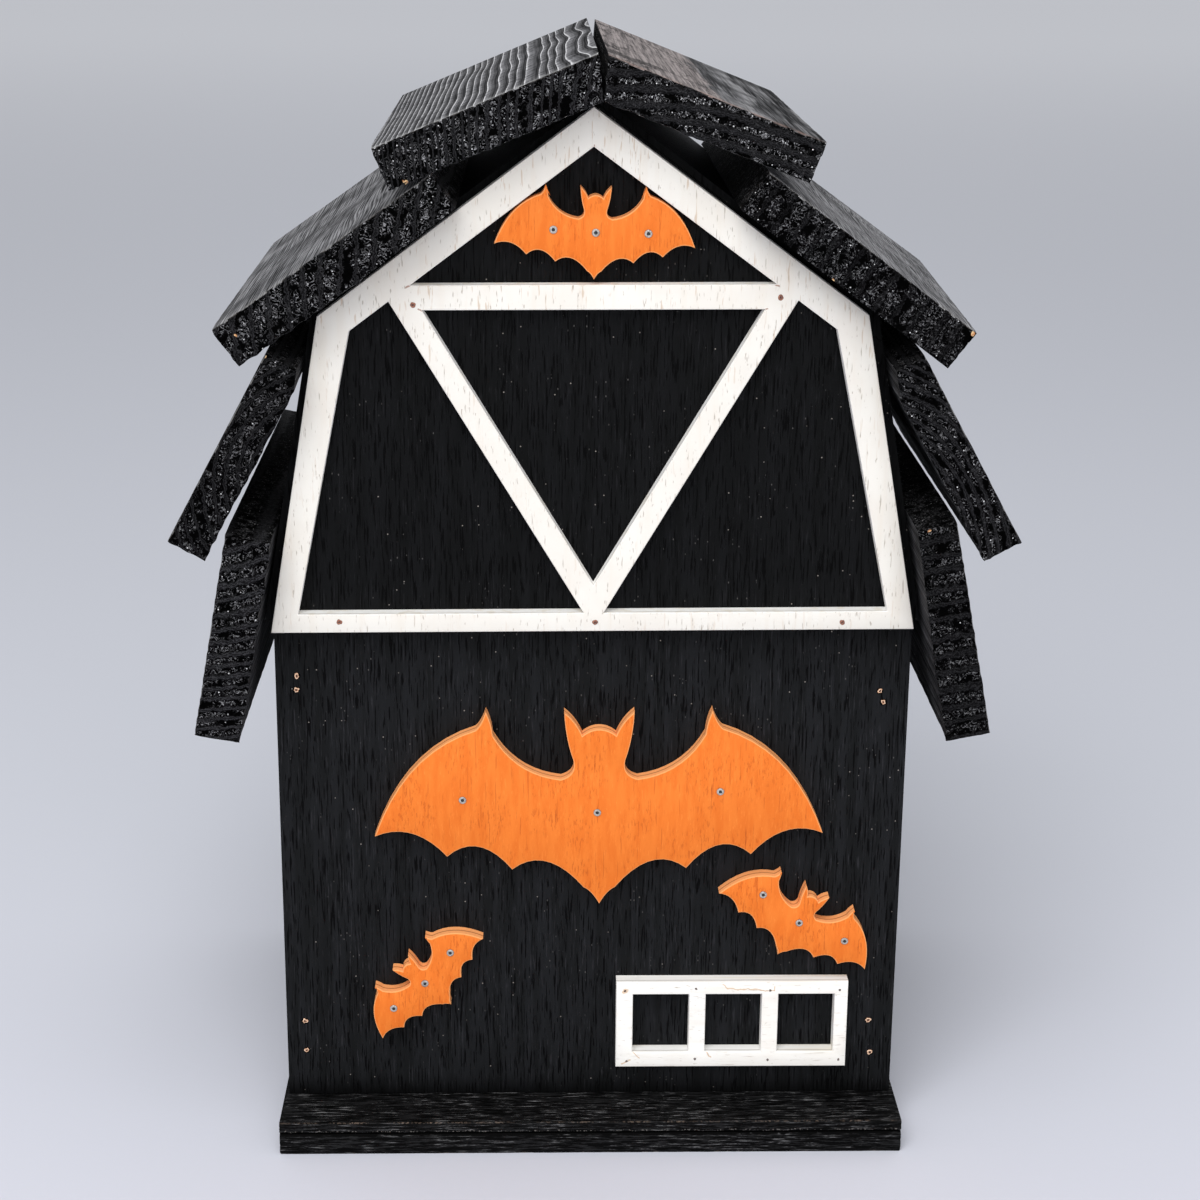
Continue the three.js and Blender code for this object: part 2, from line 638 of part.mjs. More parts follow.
/** A bat with its brads, as a group whose back lies at local y = 0. */
function batGroup(bat) {
  const group = new THREE.Group();
  const holes = bradPlaces(bat).map((place) => nailHole(BRAD).translate(place.x, 0, place.y));
  const body = piece(bat.name, cut(board(batOutline(bat.span), BAT_THICKNESS), holes), ORANGE_PAINT);
  group.add(body);
  bradPlaces(bat).forEach((place, i) => {
    const brad = piece(`${bat.name}_brad_${i + 1}`, nail(BRAD), STEEL);
    brad.position.set(place.x, 0, place.y);
    group.add(brad);
  });
  const spot = onGable(bat, at(0, 0));
  group.position.set(spot.x, PANEL_FRONT_Y - SEAT_GAP - BAT_THICKNESS, spot.y);
  group.rotation.y = -THREE.MathUtils.degToRad(bat.turnDeg);
  return group;
}

const batBox = new THREE.Group();

/** Base layers and the screws that hold the walls on them. */
function addBase() {
  batBox.add(piece("base_lower", baseLayer(0, BASE_LOWER_THICKNESS), BLACK_PAINT));
  batBox.add(piece("base_upper", baseLayer(BASE_LOWER_THICKNESS + SEAT_GAP, BASE_TOP), BLACK_PAINT));
  for (const [side, word] of [[-1, "left"], [1, "right"]]) {
    screwSpots(side).forEach((spot, i) => {
      const screw = piece(`base_screw_${word}_${i + 1}`, nail(BASE_SCREW), STEEL);
      screw.rotation.x = Math.PI / 2;
      screw.position.set(spot.x, spot.y, SCREW_SINK);
      batBox.add(screw);
    });
  }
}

/** Panels, walls, decks and partitions. */
function addBody() {
  const back = board(bothSides([foot, leanStart, knee, apex]), BACK_PANEL_THICKNESS);
  batBox.add(piece("front_panel", frontPanel(), BLACK_PAINT));
  batBox.add(piece("back_panel", back.translate(0, INNER_BACK_Y, 0), BLACK_PAINT));
  for (const [side, word] of [[-1, "left"], [1, "right"]]) {
    batBox.add(piece(`side_wall_${word}`, sideWall(side), BLACK_PAINT));
    batBox.add(piece(`lean_wall_${word}`, leanWall(side), BLACK_PAINT));
    batBox.add(piece(`roof_deck_${word}`, roofDeck(side), BLACK_PAINT));
  }
  for (let i = 0; i < PARTITION_COUNT; i += 1) {
    batBox.add(piece(`partition_${i + 1}`, partition(i), BARE_PLYWOOD));
  }
  PANEL_NAIL_SHARES.map(panelNailSpot).forEach((spot, i) => {
    const panelNail = piece(`panel_nail_${i + 1}`, nail(PANEL_NAIL), STEEL);
    panelNail.position.set(spot.x, PANEL_FRONT_Y, spot.y);
    batBox.add(panelNail);
  });
}

/** The eight roof boards, four down each side. */
function addRoof() {
  const left = {
    side: -1,
    word: "left",
    eave: eaveSection(EAVE_BOARD_LEFT_WIDTH),
    knee: kneeSection({
      eaveWidth: EAVE_BOARD_LEFT_WIDTH,
      lap: KNEE_BOARD_LEFT_LAP,
      slit: KNEE_BOARD_LEFT_SLIT,
      tiltDeg: KNEE_BOARD_LEFT_TILT_DEG,
    }),
    rafter: rafterBoard(-1, 0, 0),
  };
  const right = {
    side: 1,
    word: "right",
    eave: eaveSection(EAVE_BOARD_RIGHT_WIDTH),
    knee: kneeSection({
      eaveWidth: EAVE_BOARD_RIGHT_WIDTH,
      lap: KNEE_BOARD_RIGHT_LAP,
      slit: KNEE_BOARD_RIGHT_SLIT,
      tiltDeg: KNEE_BOARD_RIGHT_TILT_DEG,
    }),
    rafter: rafterBoard(1, RAFTER_BOARD_RIGHT_FLARE, RAFTER_BOARD_RIGHT_LIFT),
  };
  for (const { side, word, eave, knee: kneeOutline, rafter } of [left, right]) {
    const faced = (outline) => board(side > 0 ? outline : mirrored(outline), DEPTH);
    const place = (name, geometry) => {
      batBox.add(piece(`${name}_${word}`, geometry.translate(0, FRONT_Y, 0), BLACK_PAINT));
    };
    place("eave_board", faced(eave));
    place("knee_board", faced(kneeOutline));
    place("rafter_board", rafter);
    place("ridge_board", faced(ridgeSection(side)));
  }
}

/** Trim, window and bats on the front panel. */
function addFrontOrnaments() {
  const sill = atticSill.from.y;
  const turn = THREE.MathUtils.degToRad(TRIM_TURN_DEG);
  const seatY = PANEL_FRONT_Y - SEAT_GAP - TRIM_THICKNESS;
  const turned = barnTrim().translate(0, 0, -sill).rotateY(-turn).translate(TRIM_SHIFT, 0, sill);
  const holes = trimNailPlaces().map((spot) => nailHole(TRIM_NAIL).translate(spot.x, 0, spot.y));
  const trim = piece("barn_trim", cut(turned, holes), WHITE_PAINT);
  trim.position.y = seatY;
  batBox.add(trim);
  trimNailPlaces().forEach((spot, i) => {
    const trimNail = piece(`trim_nail_${i + 1}`, nail(TRIM_NAIL), STEEL);
    trimNail.position.set(spot.x, seatY, spot.y);
    batBox.add(trimNail);
  });
  const frame = piece("window_frame", windowFrame(), WHITE_PAINT);
  const frameY = PANEL_FRONT_Y - SEAT_GAP - WINDOW_THICKNESS;
  const frameLeft = BODY_WIDTH / 2 - WINDOW_SIDE_MARGIN - WINDOW_WIDTH;
  frame.position.set(frameLeft, frameY, BASE_TOP + WINDOW_SILL_HEIGHT);
  batBox.add(frame);
  for (const bat of BATS) {
    batBox.add(batGroup(bat));
  }
}

addBase();
addBody();
addRoof();
addFrontOrnaments();

export default batBox;
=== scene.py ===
"""A bat roosting box shaped like a small gambrel barn: black boards, white trim, orange bats.

Metres. +X is to the right seen from the front, +Y to the back, +Z up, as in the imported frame.
"""

import logging
import math
from dataclasses import dataclass
from enum import Enum
from typing import Any, Callable, Mapping, Sequence

import bmesh
import bpy
from mathutils import Matrix, Vector, noise


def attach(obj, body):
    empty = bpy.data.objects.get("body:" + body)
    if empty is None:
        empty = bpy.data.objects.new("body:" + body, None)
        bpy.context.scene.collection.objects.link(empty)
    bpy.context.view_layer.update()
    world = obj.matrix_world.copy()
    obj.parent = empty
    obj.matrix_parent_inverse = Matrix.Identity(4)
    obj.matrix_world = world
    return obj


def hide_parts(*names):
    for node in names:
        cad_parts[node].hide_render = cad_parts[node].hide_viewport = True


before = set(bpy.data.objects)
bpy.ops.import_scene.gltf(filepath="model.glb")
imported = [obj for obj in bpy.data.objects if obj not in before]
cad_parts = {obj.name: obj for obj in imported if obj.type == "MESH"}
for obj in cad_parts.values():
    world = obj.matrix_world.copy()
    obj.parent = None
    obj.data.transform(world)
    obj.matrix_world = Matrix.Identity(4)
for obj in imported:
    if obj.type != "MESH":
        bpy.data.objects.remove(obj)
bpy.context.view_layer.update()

LOG = logging.getLogger("bat_box")
MM = 0.001
Spot = tuple[float, float]
Place = tuple[float, float, float]
Colour = tuple[float, float, float]
Seam = tuple[Spot, Spot]
Stroke = tuple[Spot, Spot, float]

BLACK: Colour = (0.0, 0.0, 0.0)
PLATE_FRONT = -127.2  # y of the face of the trim, window and bats, in millimetres
PLATE_BACK = -118.2  # y of their back
PANEL_FACE = -117.9  # y of the face of the front panel
ON_FACE = 0.02  # how near to a face of a board counts as on it, in millimetres
GRID = 1.05  # mesh step across the sawn end of a roof board, in millimetres
SECTIONS = 72  # cuts along a roof board
END_SECTIONS = 0.11  # share of them that stand close together behind the sawn end
END_REACH = 6.0  # how far back those reach, in millimetres
END_RATE = 54.0  # their place in millimetres for each share


def paint(red: float, green: float, blue: float) -> Colour:
    """A colour for the shaders from a paint chip's 0 to 255 values.

    Args:
        red: Red of the chip.
        green: Green of the chip.
        blue: Blue of the chip.

    Returns:
        The same colour in linear light.
    """

    def linear(level: float) -> float:
        """One channel in linear light."""
        share = level / 255
        return share / 12.92 if share <= 0.04045 else ((share + 0.055) / 1.055) ** 2.4

    return linear(red), linear(green), linear(blue)


def clear_selection() -> None:
    """Leave object mode with nothing selected."""
    if bpy.context.object and bpy.context.object.mode != "OBJECT":
        bpy.ops.object.mode_set(mode="OBJECT")
    bpy.ops.object.select_all(action="DESELECT")


# Finishes


@dataclass(frozen=True)
class Shade:
    """A socket of a finish sheet that can be used in sums."""

    sheet: "FinishSheet"
    socket: bpy.types.NodeSocket

    def _with(self, operation: str, first: Any, second: Any) -> "Shade":
        """A Math node on two values."""
        return self.sheet.sum_of(operation, first, second)

    def __add__(self, other: Any) -> "Shade":
        """Sum."""
        return self._with("ADD", self, other)

    def __radd__(self, other: Any) -> "Shade":
        """Sum with a number first."""
        return self._with("ADD", other, self)

    def __sub__(self, other: Any) -> "Shade":
        """Difference."""
        return self._with("SUBTRACT", self, other)

    def __rsub__(self, other: Any) -> "Shade":
        """Difference from a number."""
        return self._with("SUBTRACT", other, self)

    def __mul__(self, other: Any) -> "Shade":
        """Product."""
        return self._with("MULTIPLY", self, other)

    def __rmul__(self, other: Any) -> "Shade":
        """Product with a number first."""
        return self._with("MULTIPLY", other, self)

    def __lt__(self, other: Any) -> "Shade":
        """1 where this is the lesser, else 0."""
        return self._with("LESS_THAN", self, other)

    def __gt__(self, other: Any) -> "Shade":
        """1 where this is the greater, else 0."""
        return self._with("LESS_THAN", other, self)

    def __abs__(self) -> "Shade":
        """Size without its sign."""
        return self._with("ABSOLUTE", self, 0.0)

    def share(self) -> "Shade":
        """The part after the decimal point."""
        return self._with("FRACT", self, 0.0)

    def repeat(self) -> "Shade":
        """0 to 1 and back to 0 once in every whole number."""
        return 1.0 - abs(self.share() * 2.0 - 1.0)

    def between(self, low: float, high: float) -> "Shade":
        """A soft step.

        Args:
            low: Where the step starts from 0.
            high: Where it reaches 1.

        Returns:
            The stepped value.
        """
        made = self.sheet.node(
            "ShaderNodeMapRange",
            {"interpolation_type": "SMOOTHSTEP", "clamp": True},
            {"Value": self, "From Min": low, "From Max": high, "To Min": 0.0, "To Max": 1.0},
        )
        return Shade(self.sheet, made.outputs["Result"])


class FinishSheet:
    """The node sheet of one finish, or of the sky."""

    def __init__(self, name: str, owner: bpy.types.World | None = None) -> None:
        """Start an empty sheet.

        Args:
            name: Name of the finish.
            owner: What it belongs to, when that is not a new material.
        """
        self.owner = owner or bpy.data.materials.new(name)
        self.owner.use_nodes = True
        self.tree = self.owner.node_tree
        self.tree.nodes.clear()

    def node(
        self,
        kind: str,
        settings: Mapping[str, Any] | None = None,
        sockets: Mapping[str | int, Any] | None = None,
    ) -> bpy.types.Node:
        """Add any node.

        Args:
            kind: Type of the node.
            settings: Its own settings, set first.
            sockets: Values or shades for its inputs.

        Returns:
            The new node.
        """
        made = self.tree.nodes.new(kind)
        for key, value in (settings or {}).items():
            setattr(made, key, value)
        for key, value in (sockets or {}).items():
            target = made.inputs[key]
            if isinstance(value, Shade):
                self.tree.links.new(value.socket, target)
            elif target.type == "RGBA":
                target.default_value = (*value, 1.0)
            else:
                target.default_value = value
        return made

    def sum_of(self, operation: str, first: Any, second: Any) -> Shade:
        """A Math node.

        Args:
            operation: Its operation.
            first: First value or shade.
            second: Second value or shade.

        Returns:
            Its result.
        """
        made = self.node("ShaderNodeMath", {"operation": operation}, {0: first, 1: second})
        return Shade(self, made.outputs[0])

    def place(
        self,
        turn: float = 0.0,
        stretch: Place = (1.0, 1.0, 1.0),
        offset: Place = (0.0, 0.0, 0.0),
    ) -> Shade:
        """Object coordinates laid along a board.

        Args:
            turn: Turn about the depth axis, in radians.
            stretch: Scale on each axis; less than 1 draws the pattern out.
            offset: Shift, so that no two boards are alike.

        Returns:
            The coordinates.
        """
        source = self.node("ShaderNodeTexCoord")
        made = self.node(
            "ShaderNodeMapping",
            {"vector_type": "POINT"},
            {
                "Vector": Shade(self, source.outputs["Object"]),
                "Rotation": (0.0, turn, 0.0),
                "Scale": stretch,
                "Location": offset,
            },
        )
        return Shade(self, made.outputs["Vector"])

    def cloud(
        self, where: Shade, size: float, detail: float = 2.0, rough: float = 0.5, swirl: float = 0.0
    ) -> Shade:
        """Soft noise.

        Args:
            where: Coordinates.
            size: Size of its lumps in metres.
            detail: Octaves of finer noise.
            rough: Strength of the finer noise.
            swirl: How far the lumps are curled.

        Returns:
            A value round one half.
        """
        made = self.node(
            "ShaderNodeTexNoise",
            {"noise_dimensions": "3D"},
            {
                "Vector": where,
                "Scale": 1.0 / size,
                "Detail": detail,
                "Roughness": rough,
                "Distortion": swirl,
            },
        )
        return Shade(self, made.outputs[0])

    def specks(self, where: Shade, size: float, share: float, reach: float = 0.35) -> Shade:
        """Small dots, some cells only.

        Args:
            where: Coordinates.
            size: Size of a cell in metres.
            share: Share of the cells that hold a dot.
            reach: Size of a dot as a share of its cell.

        Returns:
            1 in a dot and 0 round it.
        """
        made = self.node(
            "ShaderNodeTexVoronoi",
            {"voronoi_dimensions": "3D", "feature": "F1"},
            {"Vector": where, "Scale": 1.0 / size},
        )
        parted = self.node("ShaderNodeSeparateColor", None, {0: Shade(self, made.outputs["Color"])})
        near = 1.0 - Shade(self, made.outputs["Distance"]).between(reach * 0.55, reach)
        return near * (Shade(self, parted.outputs[0]) < share)

    def carried(self, name: str) -> Shade:
        """A value that the mesh carries on its corners.

        Args:
            name: Name of the attribute.

        Returns:
            Its value.
        """
        made = self.node("ShaderNodeAttribute", {"attribute_name": name, "attribute_type": "GEOMETRY"})
        return Shade(self, made.outputs["Fac"])

    def axis(self, where: Shade, index: int) -> Shade:
        """One axis of some coordinates."""
        made = self.node("ShaderNodeSeparateXYZ", None, {0: where})
        return Shade(self, made.outputs[index])

    def near(self, where: Shade, spot: Vector, radius: float) -> Shade:
        """A round dot.

        Args:
            where: Coordinates.
            spot: Its middle in metres.
            radius: Its radius in metres.

        Returns:
            1 in the dot and 0 round it.
        """
        made = self.node("ShaderNodeVectorMath", {"operation": "DISTANCE"}, {0: where, 1: tuple(spot)})
        return 1.0 - Shade(self, made.outputs["Value"]).between(radius * 0.7, radius)

    def stroke(self, where: Shade, start: Spot, end: Spot, width: float) -> Shade:
        """A hand-drawn line on the front.

        Args:
            where: Coordinates.
            start: Its first point, x and z in millimetres.
            end: Its last point.
            width: Its width in millimetres.

        Returns:
            1 on the line and 0 beside it.
        """
        shake = (self.cloud(where, 0.0035, 2.0) - 0.5) * (2.4 * MM)
        x = self.axis(where, 0) + shake - start[0] * MM
        z = self.axis(where, 2) + shake - start[1] * MM
        run, rise = (end[0] - start[0]) * MM, (end[1] - start[1]) * MM
        span = run**2 + rise**2
        made = self.node(
            "ShaderNodeMath",
            {"operation": "MULTIPLY_ADD", "use_clamp": True},
            {0: x, 1: run / span, 2: z * (rise / span)},
        )
        gone = Shade(self, made.outputs[0])
        aside, above = x - gone * run, z - gone * rise
        gap = aside * aside + above * above
        return 1.0 - gap.between((0.3 * width * MM) ** 2, (0.55 * width * MM) ** 2)

    def blend(self, share: Any, under: Any, over: Any) -> Shade:
        """A colour mixed from two.

        Args:
            share: How much of the second.
            under: First colour or shade.
            over: Second colour or shade.

        Returns:
            The mixed colour.
        """
        made = self.node(
            "ShaderNodeMix", {"data_type": "RGBA", "clamp_factor": True}, {0: share, 6: under, 7: over}
        )
        return Shade(self, made.outputs[2])

    def coat(self, first: Any, *coats: tuple[Any, Any]) -> Any:
        """Colours laid over one another.

        Args:
            first: The first coat.
            coats: For each further coat, how much of it and its colour.

        Returns:
            The mixed colour.
        """
        for share, over in coats:
            first = self.blend(share, first, over)
        return first

    def finish(
        self,
        colour: Any,
        roughness: Any,
        height: Shade,
        relief: float,
        strength: float,
        metallic: float = 0.0,
        gloss: float = 0.5,
    ) -> bpy.types.Material:
        """Lay the finish on the surface.

        Args:
            colour: Base colour.
            roughness: Roughness.
            height: Height of the relief, 0 to 1.
            relief: What a height of 1 stands for, in metres.
            strength: Strength of the relief.
            metallic: How metallic it is.
            gloss: Specular level.

        Returns:
            The material.
        """
        bump = self.node(
            "ShaderNodeBump", None, {"Strength": strength, "Distance": relief, "Height": height}
        )
        shader = self.node(
            "ShaderNodeBsdfPrincipled",
            None,
            {
                "Base Color": colour,
                "Roughness": roughness,
                "Metallic": metallic,
                "Specular IOR Level": gloss,
                "Normal": Shade(self, bump.outputs["Normal"]),
            },
        )
        self.node("ShaderNodeOutputMaterial", None, {"Surface": Shade(self, shader.outputs[0])})
        return self.owner


@dataclass(frozen=True)
class SawnEndPaint:
    """Black paint on the rough-sawn end of a roof board."""

    ridge_share: float
    glint_share: float = 0.22
    ring_strength: float = 1.0
    curl_highlights: float = 1.0
    curl_size: float = 4.0
    band: float = 38.0

    def make(self, name: str, turn: float, seed: float) -> bpy.types.Material:
        """Smooth charcoal rings, and black hollows with pale curly lines and glints painted on as
        highlights.

        Args:
            name: Name of the material.
            turn: Turn of the board about the depth axis, in radians.
            seed: Seed of the board.

        Returns:
            The material.
        """
        sheet = FinishSheet(name)
        where = sheet.place(turn, offset=(seed, 0.0, seed * 0.7))
        fray = sheet.cloud(where, 0.003, 3.0, 0.6)
        worms = sheet.cloud(where, self.curl_size * MM, 1.0, 0.5, 1.4)
        lumps = sheet.cloud(where, 0.007)
        fine = sheet.cloud(where, 0.0011, 2.0, 0.6)
        grit = sheet.cloud(where, 0.0014, 1.0)
        count = sheet.carried("rings") + (fray - 0.5) * 0.7
        rings = count.repeat()
        low = 1.0 - self.ridge_share
        ridge = rings.between(low - 0.04, low + 0.05) * self.ring_strength
        hollow = 1.0 - ridge
        shadow = rings.between(low - 0.2, low - 0.1) * hollow
        ribs = (count * 6.0 + (fine - 0.5) * 1.2).repeat().between(0.45, 0.8)
        nest = (worms * 2.3 + fray * 0.3).repeat()
        # Painted highlights: pale curly lines stand in for light glinting on the rough end grain.
        curl_highlight = 1.0 - abs(nest - 0.5).between(0.04, 0.14)
        curl_highlight = curl_highlight * lumps.between(0.38, 0.54) * (0.2 + fine.between(0.4, 0.62) * 0.8)
        # Painted shade: a black groove beside each pale curly line, for the shadow of the relief.
        furrow_shade = nest.between(0.66, 0.76) * (1.0 - nest.between(0.92, 0.99))
        marks = grit.between(0.62, 0.7) * lumps.between(0.36, 0.5)
        # Painted highlights: small near-white glints in the hollows.
        dots = sheet.specks(where, 0.0023, self.glint_share, 0.2) * fine.between(0.3, 0.5)
        dim, lit = (
            paint(level * self.band, level * self.band, blue * self.band)
            for level, blue in ((0.45, 0.48), (1.1, 1.15))
        )
        colour = sheet.coat(
            BLACK,
            (fine.between(0.42, 0.6) * lumps.between(0.35, 0.6), paint(22, 22, 24)),
            (ridge * (0.6 + fray * 0.5), sheet.blend(ribs, dim, lit)),
            (furrow_shade * hollow, BLACK),
            (marks * (0.08 + hollow * 0.7), paint(104, 104, 106)),
            (curl_highlight * (0.08 + hollow * 0.8) * self.curl_highlights, paint(164, 164, 167)),
            (shadow * 0.85, BLACK),
            (dots * hollow * 0.9, paint(232, 232, 234)),
            # Pale front rim: partly worn paint, partly a painted edge highlight.
            (sheet.carried("wear_and_edge_highlight") * fray.between(0.46, 0.58) * 0.6, paint(150, 146, 142)),
            (
                (sheet.carried("raw") + (fray - 0.5) * 1.6).between(0.5, 0.7),
                sheet.blend(fine.between(0.4, 0.6), (0.72, 0.50, 0.27), (0.5, 0.22, 0.10)),
            ),
        )
        height = ridge * 0.55 + curl_highlight * 0.4 + dots * 0.3 + fine * 0.2 - furrow_shade * 0.4
        rough = 0.66 - ridge * 0.18 - dots * 0.2
        return sheet.finish(colour, rough, height, 0.0012, 0.8, gloss=0.02)


@dataclass(frozen=True)
class SawnFacePaint:
    """Black paint on the long faces of a roof board, with the grain running back."""

    lines: float = 1.0
    fade: float = 1.0
    comb: float = 0.5
    hatch: float = 4.0
    facing: float = 1.0
    # Colour of the pale front rim: partly worn paint, partly a painted edge highlight.
    rim: Colour = (0.38, 0.375, 0.365)

    def make(self, name: str, turn: float, seed: float, knot: Vector | None) -> bpy.types.Material:
        """Each ring starts with a pale raised line and fades to black; the pale greys are a painted
        sheen on the black paint.

        Args:
            name: Name of the material.
            turn: Turn of the board about the depth axis, in radians.
            seed: Seed of the board.
            knot: Middle of a small dark knot, if there is one.

        Returns:
            The material.
        """
        sheet = FinishSheet(name)
        along = sheet.place(turn, (1.0, 0.022, 1.0), (seed, 0.0, seed * 0.7))
        fray = sheet.cloud(along, 0.004)
        streak = sheet.cloud(along, 0.0015, 3.0, 0.65)
        skewed = sheet.place(turn, (0.16, 0.32, 0.16), (0.0, seed, 0.0))
        across = sheet.cloud(skewed, 0.0014, 3.0, 0.65)
        blotch = sheet.cloud(sheet.place(turn, offset=(0.0, seed, 0.0)), 0.035, 3.0)
        cloudy = sheet.place(turn, (0.5, 0.16, 0.5), (seed, 0.0, 0.0))
        scrawl = sheet.cloud(cloudy, 0.005, 3.0, 0.7)
        rings = (sheet.carried("rings") + (fray - 0.5) * 0.22) * self.facing
        saw = rings.share()
        line = saw.between(0.0, 0.05) * (1.0 - saw.between(0.06, 0.17)) * self.lines
        line = line * (0.35 + blotch.between(0.35, 0.55) * 0.65)
        fade = (1.0 - saw.between(-0.1, 0.85)) * self.fade * (0.3 + across.between(0.42, 0.58) * 0.75)
        hatch = (rings * self.hatch + (fray - 0.5) * 0.9).repeat().between(0.35, 0.9)
        comb = hatch * 0.6 + streak.between(0.4, 0.62) * 0.5
        comb = comb * (0.4 + blotch.between(0.3, 0.7) * 0.7) * self.comb
        scratch = (1.0 - abs(scrawl - 0.5).between(0.01, 0.035)) * blotch.between(0.45, 0.55)
        pale = sheet.coat(
            paint(84, 80, 80),
            (streak.between(0.3, 0.7), paint(158, 150, 149)),
            (scratch * 0.8, paint(20, 19, 19)),
            (blotch.between(0.55, 0.62) * 0.6, paint(50, 48, 48)),
        )
        # The pale greys of the grain marks and ring lines are a painted sheen on the black paint; the
        # grain they follow is the board's own.
        colour = sheet.coat(
            paint(10, 10, 11),
            (comb, paint(148, 148, 151)),
            (fade, paint(148, 148, 152)),
            (line * across.between(0.25, 0.5), paint(214, 214, 217)),
            (sheet.carried("patch"), pale),
            # Pale front rim: partly worn paint, partly a painted edge highlight.
            (sheet.carried("wear_and_edge_highlight") * (0.6 + streak.between(0.3, 0.5) * 0.4), self.rim),
        )
        if knot is not None:
            colour = sheet.blend(sheet.near(sheet.place(), knot, 0.0016), colour, paint(3, 3, 4))
        height = streak * 0.4 + fade * 0.35 + line * 0.3 + across * 0.2
        rough = 0.7 - line * 0.1 + streak * 0.12
        return sheet.finish(colour, rough, height, 0.0005, 0.6, gloss=0.03)


@dataclass(frozen=True)
class PlyPaint:
    """Black paint on plywood whose open grain runs up the panel."""

    name: str
    seed: float
    # Top of the base; the painted shadow at the foot of each panel reaches up from here.
    foot: float = 0.0198

    def make(self) -> bpy.types.Material:
        """Returns the material: bluish black with short upright dashes and rows of fine specks."""
        sheet = FinishSheet(self.name)
        offset = (self.seed, self.seed * 0.3, 0.0)
        grain = sheet.place(stretch=(1.0, 1.0, 0.06), offset=offset)
        plain = sheet.place()
        height_up = sheet.axis(plain, 2)
        dashes = sheet.cloud(grain, 0.00095, 2.0, 0.6)
        wide = sheet.cloud(grain, 0.005, 3.0)
        patches = sheet.cloud(plain, 0.03, 3.0)
        rows = sheet.specks(sheet.place(stretch=(1.0, 1.0, 0.6), offset=offset), 0.0017, 0.16, 0.24)
        dark = dashes.between(0.57, 0.62)
        light = (1.0 - dashes).between(0.6, 0.7)
        foot = 1.0 - height_up.between(self.foot - 0.002, self.foot + 0.014)
        colour = sheet.coat(
            paint(19, 20, 21),
            (wide.between(0.35, 0.65), paint(26, 27, 29)),
            (light * patches.between(0.3, 0.55) * 0.85, paint(42, 42, 45)),
            (dark, paint(5, 5, 6)),
            # The panels are painted darker above about 0.3 m.
            (height_up.between(0.26, 0.34) * 0.6, paint(2, 2, 2)),
            (rows * patches.between(0.5, 0.62) * 0.6, paint(92, 90, 88)),
            (sheet.specks(plain, 0.0045, 0.16, 0.1), paint(128, 122, 116)),
            # Painted shadow: near black just above the base, where the panel meets the ledge.
            (foot * 0.85, paint(1, 1, 1)),
        )
        height = wide * 0.3 - dark * 0.7 + light * 0.2 + rows * 0.3
        rough = 0.6 + dark * 0.2 - light * 0.08
        return sheet.finish(colour, rough, height, 0.0004, 0.6, gloss=0.06)


@dataclass(frozen=True)
class TrimPaint:
    """Warm white paint on sawn plywood."""

    name: str
    stretch: Place = (1.0, 1.0, 0.1)
    stubs: Place = (1.0, 1.0, 0.18)
    marks: Colour = (0.36, 0.31, 0.25)
    tint: float = 0.35
    depth: float = 0.7
    body: Colour = (0.775, 0.75, 0.695)
    shaded: Colour = (0.745, 0.71, 0.65)
    ply: float = -0.1247
    strokes: tuple[Stroke, ...] = ()
    stroke_tone: Colour = (0.27, 0.11, 0.06)

    def make(self) -> bpy.types.Material:
        """Returns the material: white, fine marks along the grain, paler edges painted as if lit, one
        dark ply at the edges.
        """
        sheet = FinishSheet(self.name)
        grain = sheet.place(stretch=self.stretch)
        stained = sheet.place(stretch=self.stretch, offset=(0.31, 0.0, 0.0))
        plain = sheet.place()
        dashes = sheet.cloud(grain, 0.0012, 2.0, 0.6)
        broad = sheet.cloud(grain, 0.006, 3.0)
        mottle = sheet.cloud(plain, 0.03, 3.0)
        short = sheet.cloud(sheet.place(stretch=self.stubs), 0.0011, 2.0, 0.6)
        stain = sheet.cloud(stained, 0.0016, 2.0, 0.6)
        mark = dashes.between(0.64, 0.7) + short.between(0.67, 0.73)
        upper = sheet.axis(plain, 2).between(0.42, 0.49) * 0.6 + 0.3
        off_ply = sheet.axis(plain, 1) - self.ply + (mottle - 0.5) * 0.001
        # The sawn edges are painted paler than the face, a painted highlight for light from above; the
        # beige grain and the dark ply line are the wood's own.
        side = sheet.coat(
            (0.985, 0.975, 0.95),
            (broad.between(0.45, 0.7), (0.90, 0.85, 0.76)),
            ((1.0 - abs(off_ply).between(0.0002, 0.0005)) * 0.7, (0.34, 0.29, 0.24)),
        )
        colour = sheet.coat(
            self.body,
            (mottle.between(0.35, 0.65), self.shaded),
            (broad.between(0.48, 0.7) * self.tint, (0.72, 0.66, 0.575)),
            (stain.between(0.63, 0.7) * upper * self.depth, (0.52, 0.38, 0.26)),
            (mark * self.depth, self.marks),
            *((sheet.stroke(plain, *stroke) * 0.75, self.stroke_tone) for stroke in self.strokes),
            (sheet.carried("edge"), side),
        )
        height = broad * 0.35 - mark * 0.7
        return sheet.finish(colour, 0.5 + mottle * 0.15, height, 0.0003, 0.6)


